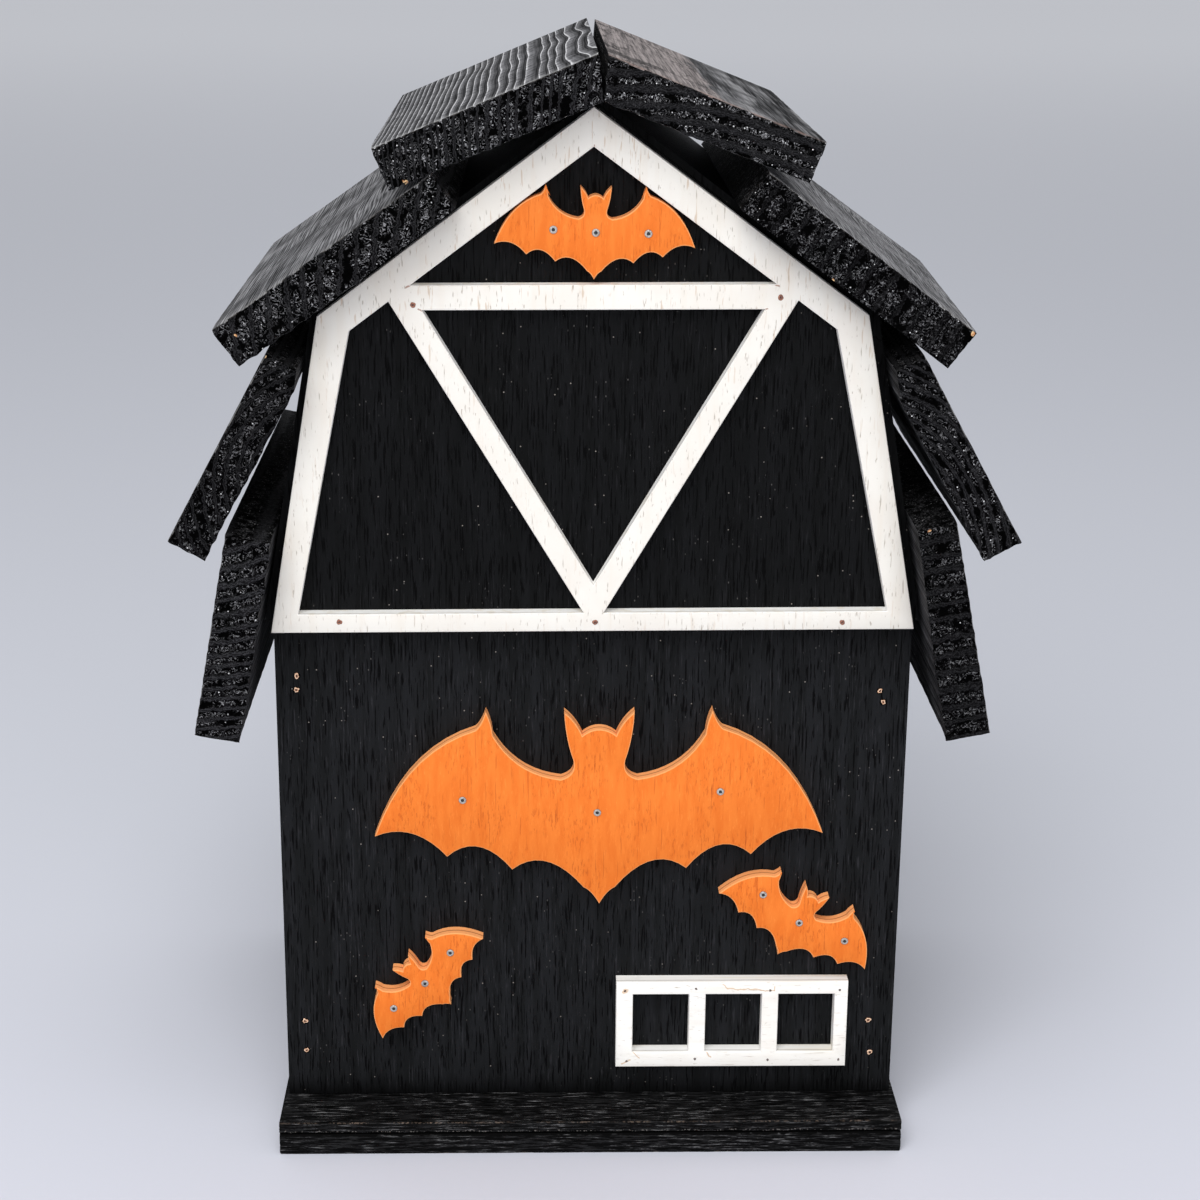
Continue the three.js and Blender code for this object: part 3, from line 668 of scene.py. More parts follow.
@dataclass(frozen=True)
class BatPaint:
    """Orange paint on the bats, with the plies showing through at the sawn edge, which is painted paler
    as if lit.
    """

    name: str
    turn: float
    seed: float
    ply: float = -0.1226

    def make(self) -> bpy.types.Material:
        """Returns the material: satin orange with fine darker cracks along the grain and a painted
        highlight along the rim.
        """
        sheet = FinishSheet(self.name)
        grain = sheet.place(self.turn, (1.0, 1.0, 0.2), (self.seed, 0.0, 0.0))
        drawn = sheet.place(self.turn, (1.0, 1.0, 0.05), (0.0, 0.0, self.seed))
        plain = sheet.place()
        dashes = sheet.cloud(grain, 0.0009, 2.0, 0.6)
        cracks = sheet.cloud(drawn, 0.0014, 2.0, 0.6)
        broad = sheet.cloud(grain, 0.004, 3.0)
        mottle = sheet.cloud(plain, 0.02, 3.0)
        off_ply = sheet.axis(plain, 1) - self.ply + (mottle - 0.5) * 0.001
        plies = 1.0 - abs(off_ply).between(0.0003, 0.0008)
        mark = dashes.between(0.59, 0.64) * mottle.between(0.38, 0.58) + cracks.between(0.64, 0.68)
        colour = sheet.coat(
            (0.79, 0.195, 0.026),
            (broad.between(0.35, 0.65), (0.74, 0.165, 0.019)),
            (mark * 0.55, (0.52, 0.10, 0.012)),
            ((1.0 - dashes).between(0.6, 0.7) * 0.3, (0.92, 0.28, 0.055)),
            # The sawn edges are painted paler than the face, a painted highlight for light from above;
            # the dark ply line is the wood's own.
            (
                sheet.carried("edge"),
                sheet.blend(plies * 0.75, (1.0, 0.42, 0.155), (0.36, 0.09, 0.025)),
            ),
            # Painted highlight: a pale orange line along the eased front rim.
            (sheet.carried("rim") * 0.7, (1.0, 0.50, 0.20)),
        )
        height = broad * 0.3 - mark * 0.7
        return sheet.finish(colour, 0.52 + broad * 0.12, height, 0.0003, 0.5, gloss=0.15)


@dataclass(frozen=True)
class BasePaint:
    """Black paint on the boards of the base, with the grain running across."""

    name: str
    seed: float
    joint: float = 0.01265

    def make(self) -> bpy.types.Material:
        """Returns the material: black with broken level streaks, edges worn pale and painted shade in
        the joint.
        """
        sheet = FinishSheet(self.name)
        grain = sheet.place(stretch=(0.06, 1.0, 1.0), offset=(0.0, self.seed, self.seed))
        plain = sheet.place()
        streak = sheet.cloud(grain, 0.0008, 3.0, 0.75)
        blotch = sheet.cloud(plain, 0.012, 3.0)
        fine = sheet.cloud(plain, 0.0012)
        ledge = sheet.axis(plain, 1).between(-0.1518, -0.1508)
        line = streak.between(0.6, 0.64) * blotch.between(0.42, 0.52) * (0.5 + ledge * 0.3)
        wavy = sheet.axis(plain, 2) - self.joint + (sheet.cloud(plain, 0.005, 3.0) - 0.5) * 0.0034
        rough_lip = (1.0 - abs(wavy - 0.0016).between(0.0002, 0.0006)) * fine.between(0.52, 0.6)
        colour = sheet.coat(
            paint(4, 4, 4),
            (streak.between(0.47, 0.58), paint(34, 34, 35)),
            (line, paint(122, 122, 123)),
            (sheet.carried("wear_and_edge_highlight") * fine.between(0.45, 0.6) * 0.7, paint(158, 138, 122)),
            (rough_lip * 0.6, paint(120, 116, 112)),
            # Painted shade: a black wavy band along the joint of the two boards, for the shadow in the
            # groove.
            (1.0 - abs(wavy).between(0.0009, 0.0015), paint(1, 1, 1)),
        )
        height = streak * 0.6 + fine * 0.3
        return sheet.finish(colour, 0.6 + streak * 0.15, height, 0.0004, 0.6, gloss=0.05)


@dataclass(frozen=True)
class BarePly:
    """Unpainted plywood inside the box."""

    name: str

    def make(self) -> bpy.types.Material:
        """Returns the material: tan with drawn-out grain and a few dark fibres."""
        sheet = FinishSheet(self.name)
        grain = sheet.place(stretch=(1.0, 1.0, 0.05))
        broad = sheet.cloud(grain, 0.012, 4.0, 0.6)
        fibre = sheet.cloud(grain, 0.0015)
        colour = sheet.coat(
            (0.46, 0.29, 0.14),
            (broad.between(0.3, 0.7), (0.60, 0.42, 0.24)),
            (fibre.between(0.6, 0.75), (0.30, 0.17, 0.08)),
        )
        return sheet.finish(colour, 0.72, broad * 0.4 + fibre * 0.4, 0.0003, 0.6)


@dataclass(frozen=True)
class NailMetal:
    """Metal of the nails and screws, bright or gone brown."""

    name: str
    face: Colour
    stain: Colour
    metallic: float
    roughness: float

    def make(self) -> bpy.types.Material:
        """Returns the material: worn metal with a stain in its pits."""
        sheet = FinishSheet(self.name)
        pits = sheet.cloud(sheet.place(), 0.0007, 3.0)
        colour = sheet.blend(pits.between(0.42, 0.62), self.face, self.stain)
        return sheet.finish(colour, self.roughness + pits * 0.25, pits, 0.0001, 0.5, self.metallic)


@dataclass(frozen=True)
class StudioPaper:
    """Pale paper that the box stands on."""

    name: str

    def make(self) -> bpy.types.Material:
        """Returns the material: pale cool grey, painted darker under the box as shade and paler far
        behind it as light.
        """
        sheet = FinishSheet(self.name)
        plain = sheet.place()
        back = sheet.axis(plain, 1)
        grain = sheet.cloud(plain, 0.004)
        colour = sheet.coat(
            (0.64, 0.65, 0.73),
            # Painted shade under and just behind the box, painted light far behind it.
            (back.between(-0.5, 0.5), (0.58, 0.60, 0.665)),
            (back.between(1.5, 10.0), (0.79, 0.81, 0.87)),
            (grain.between(0.3, 0.7) * 0.08, (0.6, 0.61, 0.65)),
        )
        return sheet.finish(colour, 0.9, grain, 0.0002, 0.2, gloss=0.1)


# Bench work


class Workpiece:
    """One mesh on the bench, shaped with edit-mode operators."""

    def __init__(self, name: str) -> None:
        """Take up the primitive that was just added.

        Args:
            name: Name of the piece.
        """
        self.obj: bpy.types.Object = bpy.context.active_object
        self.obj.name = name
        self.obj.data.name = name

    @property
    def mesh(self) -> bpy.types.Mesh:
        """The piece's mesh."""
        return self.obj.data

    def open(self) -> None:
        """Go into edit mode with nothing selected."""
        bpy.ops.object.mode_set(mode="EDIT")
        bpy.ops.mesh.select_all(action="DESELECT")

    def close(self) -> None:
        """Go back to object mode."""
        bpy.ops.object.mode_set(mode="OBJECT")

    def settle(self) -> None:
        """Put the piece's place, turn and size into its mesh."""
        bpy.ops.object.transform_apply(location=True, rotation=True, scale=True)

    def pick(self, kind: str, wanted: Callable[[Any], bool]) -> None:
        """Select edges or faces in edit mode.

        Args:
            kind: EDGE or FACE.
            wanted: Says of each one whether it is picked.
        """
        bpy.ops.mesh.select_mode(type=kind)
        bpy.ops.mesh.select_all(action="DESELECT")
        bench = bmesh.from_edit_mesh(self.mesh)
        for element in bench.edges if kind == "EDGE" else bench.faces:
            if wanted(element):
                element.select_set(True)
        bmesh.update_edit_mesh(self.mesh)

    def face_out(self) -> None:
        """Turn all faces outwards, in edit mode."""
        bpy.ops.mesh.select_all(action="SELECT")
        bpy.ops.mesh.normals_make_consistent(inside=False)

    def smooth(self, degrees: float) -> None:
        """Shade smooth across edges flatter than an angle.

        Args:
            degrees: The angle.
        """
        clear_selection()
        self.obj.select_set(True)
        bpy.context.view_layer.objects.active = self.obj
        bpy.ops.object.shade_smooth_by_angle(angle=math.radians(degrees))

    def carry(self, name: str, values: Sequence[float]) -> None:
        """Give every corner of the mesh a value.

        Args:
            name: Name of the attribute.
            values: One value for each vertex.
        """
        layer = self.mesh.attributes.new(name, "FLOAT", "POINT")
        layer.data.foreach_set("value", list(values))

    def hang(self, slot: str, *nodes: str) -> None:
        """Ride on the body and stand for CAD nodes.

        Args:
            slot: Not used.
            nodes: The nodes it stands for.
        """
        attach(self.obj, "root")
        if nodes:
            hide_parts(*nodes)
        LOG.info("%s: %d faces", self.obj.name, len(self.mesh.polygons))


def sawn_plate(
    name: str, loops: Sequence[Sequence[Spot]], material: bpy.types.Material, slot: str, node: str
) -> None:
    """A plate sawn to outlines in the plane of the gable, its front edges eased, painted and hung.

    Args:
        name: Name of the piece.
        loops: Outer outline, then the outline of each hole, as x and z in metres.
        material: Its paint.
        slot: Name of a material slot, handed on to hang.
        node: The node it stands for.
    """
    front, back = PLATE_FRONT * MM, PLATE_BACK * MM
    clear_selection()
    bpy.ops.mesh.primitive_circle_add(vertices=len(loops[0]), radius=0.1, fill_type="NOTHING")
    plate = Workpiece(name)
    plate.open()
    for loop in loops[1:]:
        bpy.ops.mesh.primitive_circle_add(vertices=len(loop), radius=0.1, fill_type="NOTHING")
    bench = bmesh.from_edit_mesh(plate.mesh)
    bench.verts.ensure_lookup_table()
    for vertex, (x, z) in zip(bench.verts, [spot for loop in loops for spot in loop]):
        vertex.co = (x, back, z)
    bmesh.update_edit_mesh(plate.mesh)
    ease = ((0.25 * MM, 0.35 * MM), (0.35 * MM, 0.15 * MM))
    bpy.ops.mesh.select_all(action="SELECT")
    bpy.ops.mesh.fill(use_beauty=True)
    run = front - back + sum(rise for _, rise in ease)
    bpy.ops.mesh.extrude_region_move(TRANSFORM_OT_translate={"value": (0.0, run, 0.0)})
    plate.face_out()
    level = back + run
    for inward, rise in ease:
        plate.pick(
            "FACE", lambda face: face.calc_center_median().y < level + 1e-6 and face.normal.y < -0.9
        )
        bpy.ops.mesh.inset(thickness=inward, depth=rise)
        level -= rise
    plate.close()
    behind = [(v.co.y - front) / MM for v in plate.mesh.vertices]
    plate.carry("edge", [1.0 if depth > 0.4 else 0.0 for depth in behind])
    # The rim carries a painted highlight on the bats.
    plate.carry("rim", [1.0 if 0.05 < depth < 0.3 else 0.0 for depth in behind])
    plate.mesh.materials.append(material)
    plate.smooth(30.0)
    plate.hang(slot, node)


def sawn_block(name: str, centre: Vector, size: Place, turn: float, cuts: Sequence[int]) -> Workpiece:
    """A block divided into a grid, so that its faces can be roughened.

    Args:
        name: Name of the piece.
        centre: Its middle.
        size: Width, length and thickness.
        turn: Turn about the depth axis.
        cuts: Number of cuts along each.

    Returns:
        The block, in object mode.
    """
    clear_selection()
    bpy.ops.mesh.primitive_cube_add(size=1.0, location=centre, rotation=(0.0, turn, 0.0))
    block = Workpiece(name)
    block.obj.scale = size
    block.open()
    for axis, count in enumerate(cuts):
        block.pick("EDGE", lambda edge: abs((edge.verts[0].co - edge.verts[1].co)[axis]) > 1e-5)
        bpy.ops.mesh.subdivide(number_cuts=count)
    block.close()
    block.settle()
    return block


# Roof


class Side(Enum):
    """A side of the box, seen from the front."""

    LEFT = -1
    RIGHT = 1


@dataclass
class RoofBoard:
    """One rough-sawn roof board, given by its low inner corner on the front."""

    name: str
    side: Side
    start: Spot
    tilt: float
    width: float
    thickness: float
    pith: Spot
    ring_pitch: float
    seed: float
    ends: SawnEndPaint
    faces: SawnFacePaint = SawnFacePaint()
    ragged: float = 1.2
    spread: float = 0.3
    crowding: float = 0.0
    wander: Spot = (1.6, 1.6)
    rim_share: float = 0.5
    knot: Place | None = None
    patch_from: float | None = None
    raw: tuple[Spot, ...] = ()
    flare: float = 0.0
    lift: float = 0.0
    length: float = 304.8
    seams: tuple[Seam, ...] = ()

    def __post_init__(self) -> None:
        """Work out the directions up the slope and out of the board."""
        tilt = math.radians(self.tilt)
        self.up = Vector((-self.side.value * math.cos(tilt), 0.0, math.sin(tilt)))
        self.out = Vector((self.side.value * math.sin(tilt), 0.0, math.cos(tilt)))
        self.corner = Vector((self.side.value * self.start[0], -self.length / 2, self.start[1])) * MM
        self.turn = -tilt if self.side is Side.LEFT else math.pi + tilt

    def build(self) -> None:
        """Saw the board, roughen it and paint it."""
        centre = self._inside(self.width / 2, self.length / 2, self.thickness / 2)
        size = (self.width * MM, self.length * MM, self.thickness * MM)
        cuts = (round(self.width / GRID), SECTIONS, round(self.thickness / GRID))
        board = sawn_block(self.name, centre, size, self.turn, cuts)
        self._cut_seams(board)
        self._roughen(board)
        self._dress(board)
        board.smooth(40.0)
        board.hang("black_paint", self.name)

    def _inside(self, across: float, along: float, deep: float) -> Vector:
        """The point so many millimetres up the slope, back and out, in metres."""
        return self.corner + (self.up * across + self.out * deep + Vector((0.0, along, 0.0))) * MM

    def _cut_seams(self, board: Workpiece) -> None:
        """Saw off what lies beyond each seam.

        Args:
            board: The board.
        """
        for place, away in self.seams:
            board.open()
            bpy.ops.mesh.select_all(action="SELECT")
            point = Vector((self.side.value * place[0], 0.0, place[1])) * MM
            outward = Vector((self.side.value * away[0], 0.0, away[1]))
            bpy.ops.mesh.bisect(
                plane_co=point, plane_no=outward, use_fill=True, clear_outer=True, threshold=1e-7
            )
            board.face_out()
            board.close()

    def _rings_at(self, across: float, along: float, deep: float) -> float:
        """Growth rings between the pith and a point.

        Args:
            across: Millimetres up the slope.
            along: Millimetres back from the front.
            deep: Millimetres out from the inner face.

        Returns:
            The count, with a fraction.
        """
        share = min(max(across / self.width, 0.0), 1.0)
        sway = self.wander[0] + (self.wander[1] - self.wander[0]) * share**2
        drift = 2.2 * noise.noise(Vector((across * 0.012, along * 0.005, self.seed + 9.0)))
        drift += sway * noise.noise(Vector((across * 0.03, along * 0.0115, self.seed)))
        wave = 0.3 * noise.noise(Vector((across * 0.1, along * 0.022, self.seed + deep * 0.1)))
        reach = math.hypot(across - self.pith[0], deep - self.pith[1]) + drift + wave
        uneven = self.spread * noise.noise(Vector((reach * 0.07, self.seed, 0.0)))
        return reach / self.ring_pitch + self.crowding * (reach / 100.0) ** 3 + uneven

    def _roughen(self, board: Workpiece) -> None:
        """Wear the board's faces and saw a ragged front end.

        Args:
            board: The board.
        """
        carried: dict[str, list[float]] = {"rings": [], "wear_and_edge_highlight": [], "raw": [], "patch": []}
        for vertex in board.mesh.vertices:
            local = (vertex.co - self.corner) / MM
            across, along, deep = local.dot(self.up), local.y, local.dot(self.out)
            share = along / self.length
            # Sections stand close together near the sawn front end
            if share < END_SECTIONS:
                along = END_RATE * share
            else:
                rest = (share - END_SECTIONS) / (1.0 - END_SECTIONS)
                along = END_REACH + (self.length - END_REACH) * rest
            count = self._rings_at(across, along, deep)
            tooth = abs((count % 1.0) * 2.0 - 1.0)
            spot = Vector((across * 0.45, along * 0.12, deep * 0.45 + self.seed))
            grit, coarse = noise.noise(spot), noise.noise(spot * 0.37)
            near = math.exp(-along / 7.0)
            bite = 0.25 + 0.25 * grit + near * self.ragged * (0.45 + 0.5 * coarse + 0.5 * tooth)
            bite = max(bite, 0.05)
            faces = 0
            low, high = across < ON_FACE, across > self.width - ON_FACE
            under, over = deep < ON_FACE, deep > self.thickness - ON_FACE
            step = Vector((0.0, 0.0, 0.0))
            if low or high:
                step += self.up * (bite if low else -0.4 * bite)
                faces += 1
            if under or over:
                rough = 0.2 + 0.2 * grit + near * self.ragged * (0.5 * coarse + 0.5 * tooth - 0.75)
                step += self.out * (rough if under else -0.35 * bite)
                faces += 1
            back = 0.0
            if along < ON_FACE:
                back = 0.1 + 0.55 * self.ends.ring_strength * tooth + 0.5 * max(grit, 0.0)
                back += 0.5 + 0.6 * max(coarse, 0.0) if faces else 0.0
                faces += 1
            elif along > self.length - ON_FACE:
                back = -0.2 - 0.3 * max(grit, 0.0)
                faces += 1
            stray = self.up * -self.flare + self.out * self.lift * deep / self.thickness
            stray *= along / self.length * (1.0 - min(max(across / self.width, 0.0), 1.0))
            place = self.up * across + self.out * deep + Vector((0.0, along + back, 0.0)) + step + stray
            vertex.co = self.corner + place * MM
            carried["rings"].append(count)
            # The outer front edges get a pale rim, partly worn paint and partly a painted edge
            # highlight.
            rim = faces >= 2 and over
            rubbed_and_highlit = 0.9 if rim and along < 9.0 else 0.0
            if over and not rim:
                rubbed_and_highlit = self.rim_share * math.exp(-along / 3.0)
            carried["wear_and_edge_highlight"].append(max(0.0, 0.6 + coarse) * rubbed_and_highlit)
            torn = [
                math.exp(-((across - u) ** 2 + (deep - w) ** 2 + along**2) / 1.9) for u, w in self.raw
            ]
            carried["raw"].append(max(torn, default=0.0) if along < 3.0 else 0.0)
            edge = math.inf if self.patch_from is None else self.patch_from
            carried["patch"].append(min(max((across - edge + 6 * coarse) / 4, 0.0), 1.0))
        for name, values in carried.items():
            board.carry(name, values)

    def _dress(self, board: Workpiece) -> None:
        """Paint the long faces and the sawn ends.

        Args:
            board: The board.
        """
        knot = self._inside(*self.knot) if self.knot else None
        for paint_on in (
            self.faces.make(f"{self.name}_face_paint", -self.turn, self.seed, knot),
            self.ends.make(f"{self.name}_end_paint", -self.turn, self.seed),
        ):
            board.mesh.materials.append(paint_on)
        for polygon in board.mesh.polygons:
            sawn_across = max(abs(polygon.normal.y), abs(polygon.normal.dot(self.up)))
            polygon.material_index = 1 if sawn_across > 0.6 else 0


UNDER_RAFTER: Seam = ((146.94, 482.19), (0.59617, 0.80286))
ON_LEAN_WALL: Seam = ((180.91, 306.84), (-0.98483, -0.17353))
ON_ROOF_DECK: Seam = ((146.94, 482.19), (-0.59617, -0.80286))
STEEP_FACES = SawnFacePaint(lines=0.12, fade=0.1, comb=0.3)


@dataclass(frozen=True)
class Roof:
    """The eight roof boards, four down each side."""

    boards: tuple[RoofBoard, ...] = (
        RoofBoard(
            "ridge_board_left", Side.LEFT, (106.9, 546.3), 22.6, 124.3, 22.6,
            (248.0, -63.0), 30.0, 3.1,
            SawnEndPaint(0.3, band=42.0), SawnFacePaint(facing=-1.0, comb=0.3, rim=(0.5, 0.5, 0.5)),
            crowding=1.55, spread=1.0, wander=(0.8, 6.5), rim_share=1.2,
            seams=(((-0.6, 603.53), (-0.9963, 0.0855)),), raw=((10.5, 0.6), (0.6, 11.8)),
        ),
        RoofBoard(
            "ridge_board_right", Side.RIGHT, (107.44, 551.0), 21.13, 120.0, 21.8,
            (20.0, -190.0), 7.6, 7.7,
            SawnEndPaint(0.5, 0.8, curl_highlights=1.2, curl_size=3.4, band=40.0),
            SawnFacePaint(0.22, 0.2, 0.7, 3.0, rim=(0.34, 0.24, 0.21)),
            spread=0.2, rim_share=1.3, seams=(((3.2, 602.0), (-0.9963, 0.0854)),), patch_from=57.0,
        ),
        RoofBoard(
            "rafter_board_left", Side.LEFT, (185.4, 455.9), 35.25, 139.6, 22.9,
            (271.0, -137.0), 9.3, 12.4,
            SawnEndPaint(0.28), SawnFacePaint(0.15, 0.2, 1.15, 5.0),
            wander=(3.0, 3.0), raw=((10.0, 13.4),), knot=(30.6, 252.8, 23.3), seams=(ON_ROOF_DECK,),
        ),
        RoofBoard(
            "rafter_board_right", Side.RIGHT, (181.6, 455.2), 36.7, 137.5, 24.4,
            (-260.0, 40.0), 11.0, 17.9,
            SawnEndPaint(0.24, 0.2, 0.7, 0.55, band=34.0), SawnFacePaint(0.15, 0.2, 1.5, 6.0),
            wander=(3.0, 3.0), flare=20.0, lift=3.0, raw=((77.1, 0.5), (2.1, 23.0)),
            seams=(ON_ROOF_DECK,),
        ),
        RoofBoard(
            "knee_board_left", Side.LEFT, (206.8, 351.9), 61.4, 115.3, 21.7,
            (70.0, -42.0), 6.0, 23.3,
            SawnEndPaint(0.3, 0.14, curl_highlights=0.5, band=34.0), STEEP_FACES,
            seams=(UNDER_RAFTER, ON_LEAN_WALL), raw=((113.5, 20.5),),
        ),
        RoofBoard(
            "knee_board_right", Side.RIGHT, (207.05, 352.0), 60.6, 115.3, 21.8,
            (40.0, -90.0), 5.0, 29.6,
            SawnEndPaint(0.45, 0.12, 0.9, 0.7, band=46.0), STEEP_FACES,
            seams=(UNDER_RAFTER, ON_LEAN_WALL),
        ),
        RoofBoard(
            "eave_board_left", Side.LEFT, (192.4, 249.4), 79.55, 115.0, 24.1,
            (200.0, 60.0), 12.0, 34.2,
            SawnEndPaint(0.42, 0.12, curl_highlights=0.85, band=52.0), STEEP_FACES, crowding=0.9, ragged=1.7,
        ),
        RoofBoard(
            "eave_board_right", Side.RIGHT, (192.2, 250.1), 78.4, 121.4, 23.8,
            (-160.0, 8.0), 9.3, 41.5,
            SawnEndPaint(0.4, 0.1, curl_highlights=0.45, band=33.0), STEEP_FACES,
            ragged=1.7, raw=((120.5, 8.2),), seams=(ON_LEAN_WALL,),
        ),
    )

    def build(self) -> None:
        """Build every board."""
        for board in self.boards:
            board.build()


# Base, body, trim and bats


@dataclass
class Base:
    """Two boards one on the other, their front edge ahead of the front panel."""

    width: float = 355.6
    depth: float = 304.8
    lower: Spot = (0.0, 12.5)
    upper: Spot = (12.8, 19.8)
    way_in: Place = (150.0, -102.9, 134.4)
    rows: int = 9
    stretches: tuple[tuple[float, float, int], ...] = ((0.2, 1.0, 200), (0.01, 0.2, 18))

    def build(self) -> None:
        """Build both boards."""
        self._layer("base_lower", self.lower, 0.6, 0.9, 51.0)
        self._layer("base_upper", self.upper, 0.8, 0.45, 58.0)

    def _layer(self, name: str, span: Spot, foot: float, brow: float, seed: float) -> None:
        """One board of the base, with the way in through it.

        Args:
            name: Name of the node it stands for.
            span: Its lowest and highest z.
            foot: How far its lower edge is rounded off.
            brow: How far its upper edge is rounded off.
            seed: Seed of its roughness.
        """
        low, high = span
        half, deep = self.width / 2, self.depth / 2
        clear_selection()
        bpy.ops.mesh.primitive_cube_add(size=1.0, location=(0.0, 0.0, (low + high) / 2 * MM))
        layer = Workpiece(name)
        layer.obj.scale = (self.width * MM, self.depth * MM, (high - low) * MM)
        layer.settle()
        side, front, back = self.way_in
        layer.open()
        for axis, places in ((0, (-side, side)), (1, (1.5 - deep, front, back))):
            for place in places:
                bpy.ops.mesh.select_all(action="SELECT")
                point, normal = Vector((0.0, 0.0, 0.0)), Vector((0.0, 0.0, 0.0))
                point[axis], normal[axis] = place * MM, 1.0
                bpy.ops.mesh.bisect(plane_co=point, plane_no=normal)

        def over_way_in(face: bmesh.types.BMFace) -> bool:
            """Pick out the two faces that close the way in.

            Args:
                face: A face of the board.

            Returns:
                True for those two.
            """
            middle = face.calc_center_median() / MM
            inside = abs(middle.x) < side and front < middle.y < back
            return inside and abs(face.normal.z) > 0.9

        layer.pick("FACE", over_way_in)
        bpy.ops.mesh.bridge_edge_loops()
        layer.pick("EDGE", lambda edge: abs(edge.verts[0].co.z - edge.verts[1].co.z) > 1e-4)
        bpy.ops.mesh.subdivide(number_cuts=self.rows)
        for shortest, longest, count in self.stretches:
            layer.pick("EDGE", 
                lambda edge: shortest < abs(edge.verts[0].co.x - edge.verts[1].co.x) < longest
                and max(v.co.y for v in edge.verts) < (front + 1.0) * MM
            )
            bpy.ops.mesh.subdivide(number_cuts=count)
        layer.face_out()
        layer.close()
        wear_and_edge_highlight: list[float] = []
        for vertex in layer.mesh.vertices:
            spot = vertex.co / MM
            up, down = high - spot.z, spot.z - low
            bite = noise.noise(Vector((spot.x * 0.07, seed, spot.z * 0.4)))
            grit = noise.noise(Vector((spot.x * 0.5, seed, spot.z * 0.9)))
            worn = 0.0
            if spot.y < ON_FACE - deep:
                pull = foot * max(0.0, 1.0 - down / foot) ** 2 * (1.0 + 0.5 * bite)
                pull += brow * max(0.0, 1.0 - up / brow) ** 2 + 0.2 + 0.25 * grit
                vertex.co.y += pull * MM
                if up < ON_FACE and name == "base_upper":
                    worn = max(0.0, 0.25 + bite + 0.5 * grit)
                if down < ON_FACE and name == "base_lower":
                    worn = 1.2 * max(0.0, bite + grit - 0.15)
            if abs(spot.x) > half - ON_FACE:
                pull = foot * max(0.0, 1.0 - down / foot) ** 2 + 0.3 + 0.25 * grit
                vertex.co.x -= math.copysign(pull * MM, spot.x)
            if name == "base_upper" and down < 0.9 and spot.y < ON_FACE - deep:
                wavy = (1.0 - down) * (0.9 + 1.3 * max(0.0, bite) + 0.7 * grit)
                vertex.co.z += wavy * MM
                vertex.co.y += wavy * MM
            wear_and_edge_highlight.append(worn)
        layer.carry("wear_and_edge_highlight", wear_and_edge_highlight)
        layer.mesh.materials.append(BasePaint(f"{name}_paint", seed).make())
        layer.smooth(40.0)
        for polygon in layer.mesh.polygons:
            polygon.use_smooth = abs(polygon.normal.z) < 0.97
        layer.hang("black_paint", name)


@dataclass
class Body:
    """Panels, walls, decks, partitions and screws, kept as they are and painted."""

    painted: tuple[str, ...] = (
        "back_panel", "side_wall_left", "side_wall_right", "lean_wall_left", "lean_wall_right",
        "roof_deck_left", "roof_deck_right", "front_panel",
    )
    bare: tuple[str, ...] = tuple(f"partition_{i}" for i in range(1, 6))
    screws: tuple[str, ...] = tuple(f"base_screw_{w}_{i}" for w in ("left", "right") for i in (1, 2))

    def dress(self) -> None:
        """Paint every board of the body and finish its screws."""
        for index, name in enumerate(self.painted):
            self._cover(name, PlyPaint(f"{name}_paint", 1.7 * index).make())
        bare = BarePly("bare_plywood").make()
        for name in self.bare:
            self._cover(name, bare)
        steel = NailMetal("screw_steel", (0.56, 0.56, 0.57), (0.30, 0.29, 0.28), 1.0, 0.3).make()
        for name in self.screws:
            self._cover(name, steel)

    def _cover(self, name: str, material: bpy.types.Material) -> None:
        """Put a finish on a CAD node.

        Args:
            name: Name of the node.
            material: The finish.
        """
        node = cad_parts[name]
        if not node.material_slots:
            node.data.materials.append(material)
        for slot in node.material_slots:
            slot.link = "OBJECT"
            slot.material = material
        LOG.info("%s: painted", name)


TRIM_KERFS: tuple[Stroke, ...] = (
    ((-99.0, 493.9), (-95.4, 495.0), 1.0),
    ((95.2, 495.4), (91.8, 496.3), 1.0),
    ((-92.9, 482.4), (-89.9, 480.9), 0.9),
    ((89.4, 483.2), (86.4, 482.0), 0.9),
    ((-1.8, 567.4), (-1.6, 565.0), 0.6),
)


@dataclass
class BarnTrim:
    """White trim of the gable, one board with its fields cut out."""

    turn: float = 0.4
    shift: float = -1.75
    pivot: float = 495.1
    outer: tuple[Spot, ...] = ((175.0, 305.8), (144.5, 478.9), (0.0, 586.2))
    attic: tuple[Spot, ...] = ((95.85, 495.1), (0.0, 566.27))
    middle: tuple[Spot, ...] = ((0.0, 331.4), (89.85, 482.1))
    beside: tuple[Spot, ...] = ((5.37, 316.0), (160.1, 316.0), (128.1, 471.15), (107.15, 486.71))

    def placed(self, spot: Spot) -> Spot:
        """A point of the trim as it hangs on the gable.

        Args:
            spot: Its place on a trim that hangs straight, in millimetres.

        Returns:
            Its x and z in metres.
        """
        angle = math.radians(self.turn)
        x, z = spot[0], spot[1] - self.pivot
        across = x * math.cos(angle) - z * math.sin(angle) + self.shift
        return across * MM, (x * math.sin(angle) + z * math.cos(angle) + self.pivot) * MM

    def build(self) -> None:
        """Saw the trim and paint it."""

        def both(half: Sequence[Spot]) -> list[Spot]:
            """An outline from its right half."""
            return [*half, *[(-x, z) for x, z in reversed(half) if x > 0.0]]

        def turned_over(loop: Sequence[Spot]) -> list[Spot]:
            """An outline on the other side."""
            return [(-x, z) for x, z in reversed(loop)]

        loops = [
            both(self.outer), both(self.attic), both(self.middle), list(self.beside),
            turned_over(self.beside),
        ]
        placed = [[self.placed(spot) for spot in loop] for loop in loops]
        finish = TrimPaint("trim_white", strokes=TRIM_KERFS)
        sawn_plate("gable_trim", placed, finish.make(), "white_paint", "barn_trim")


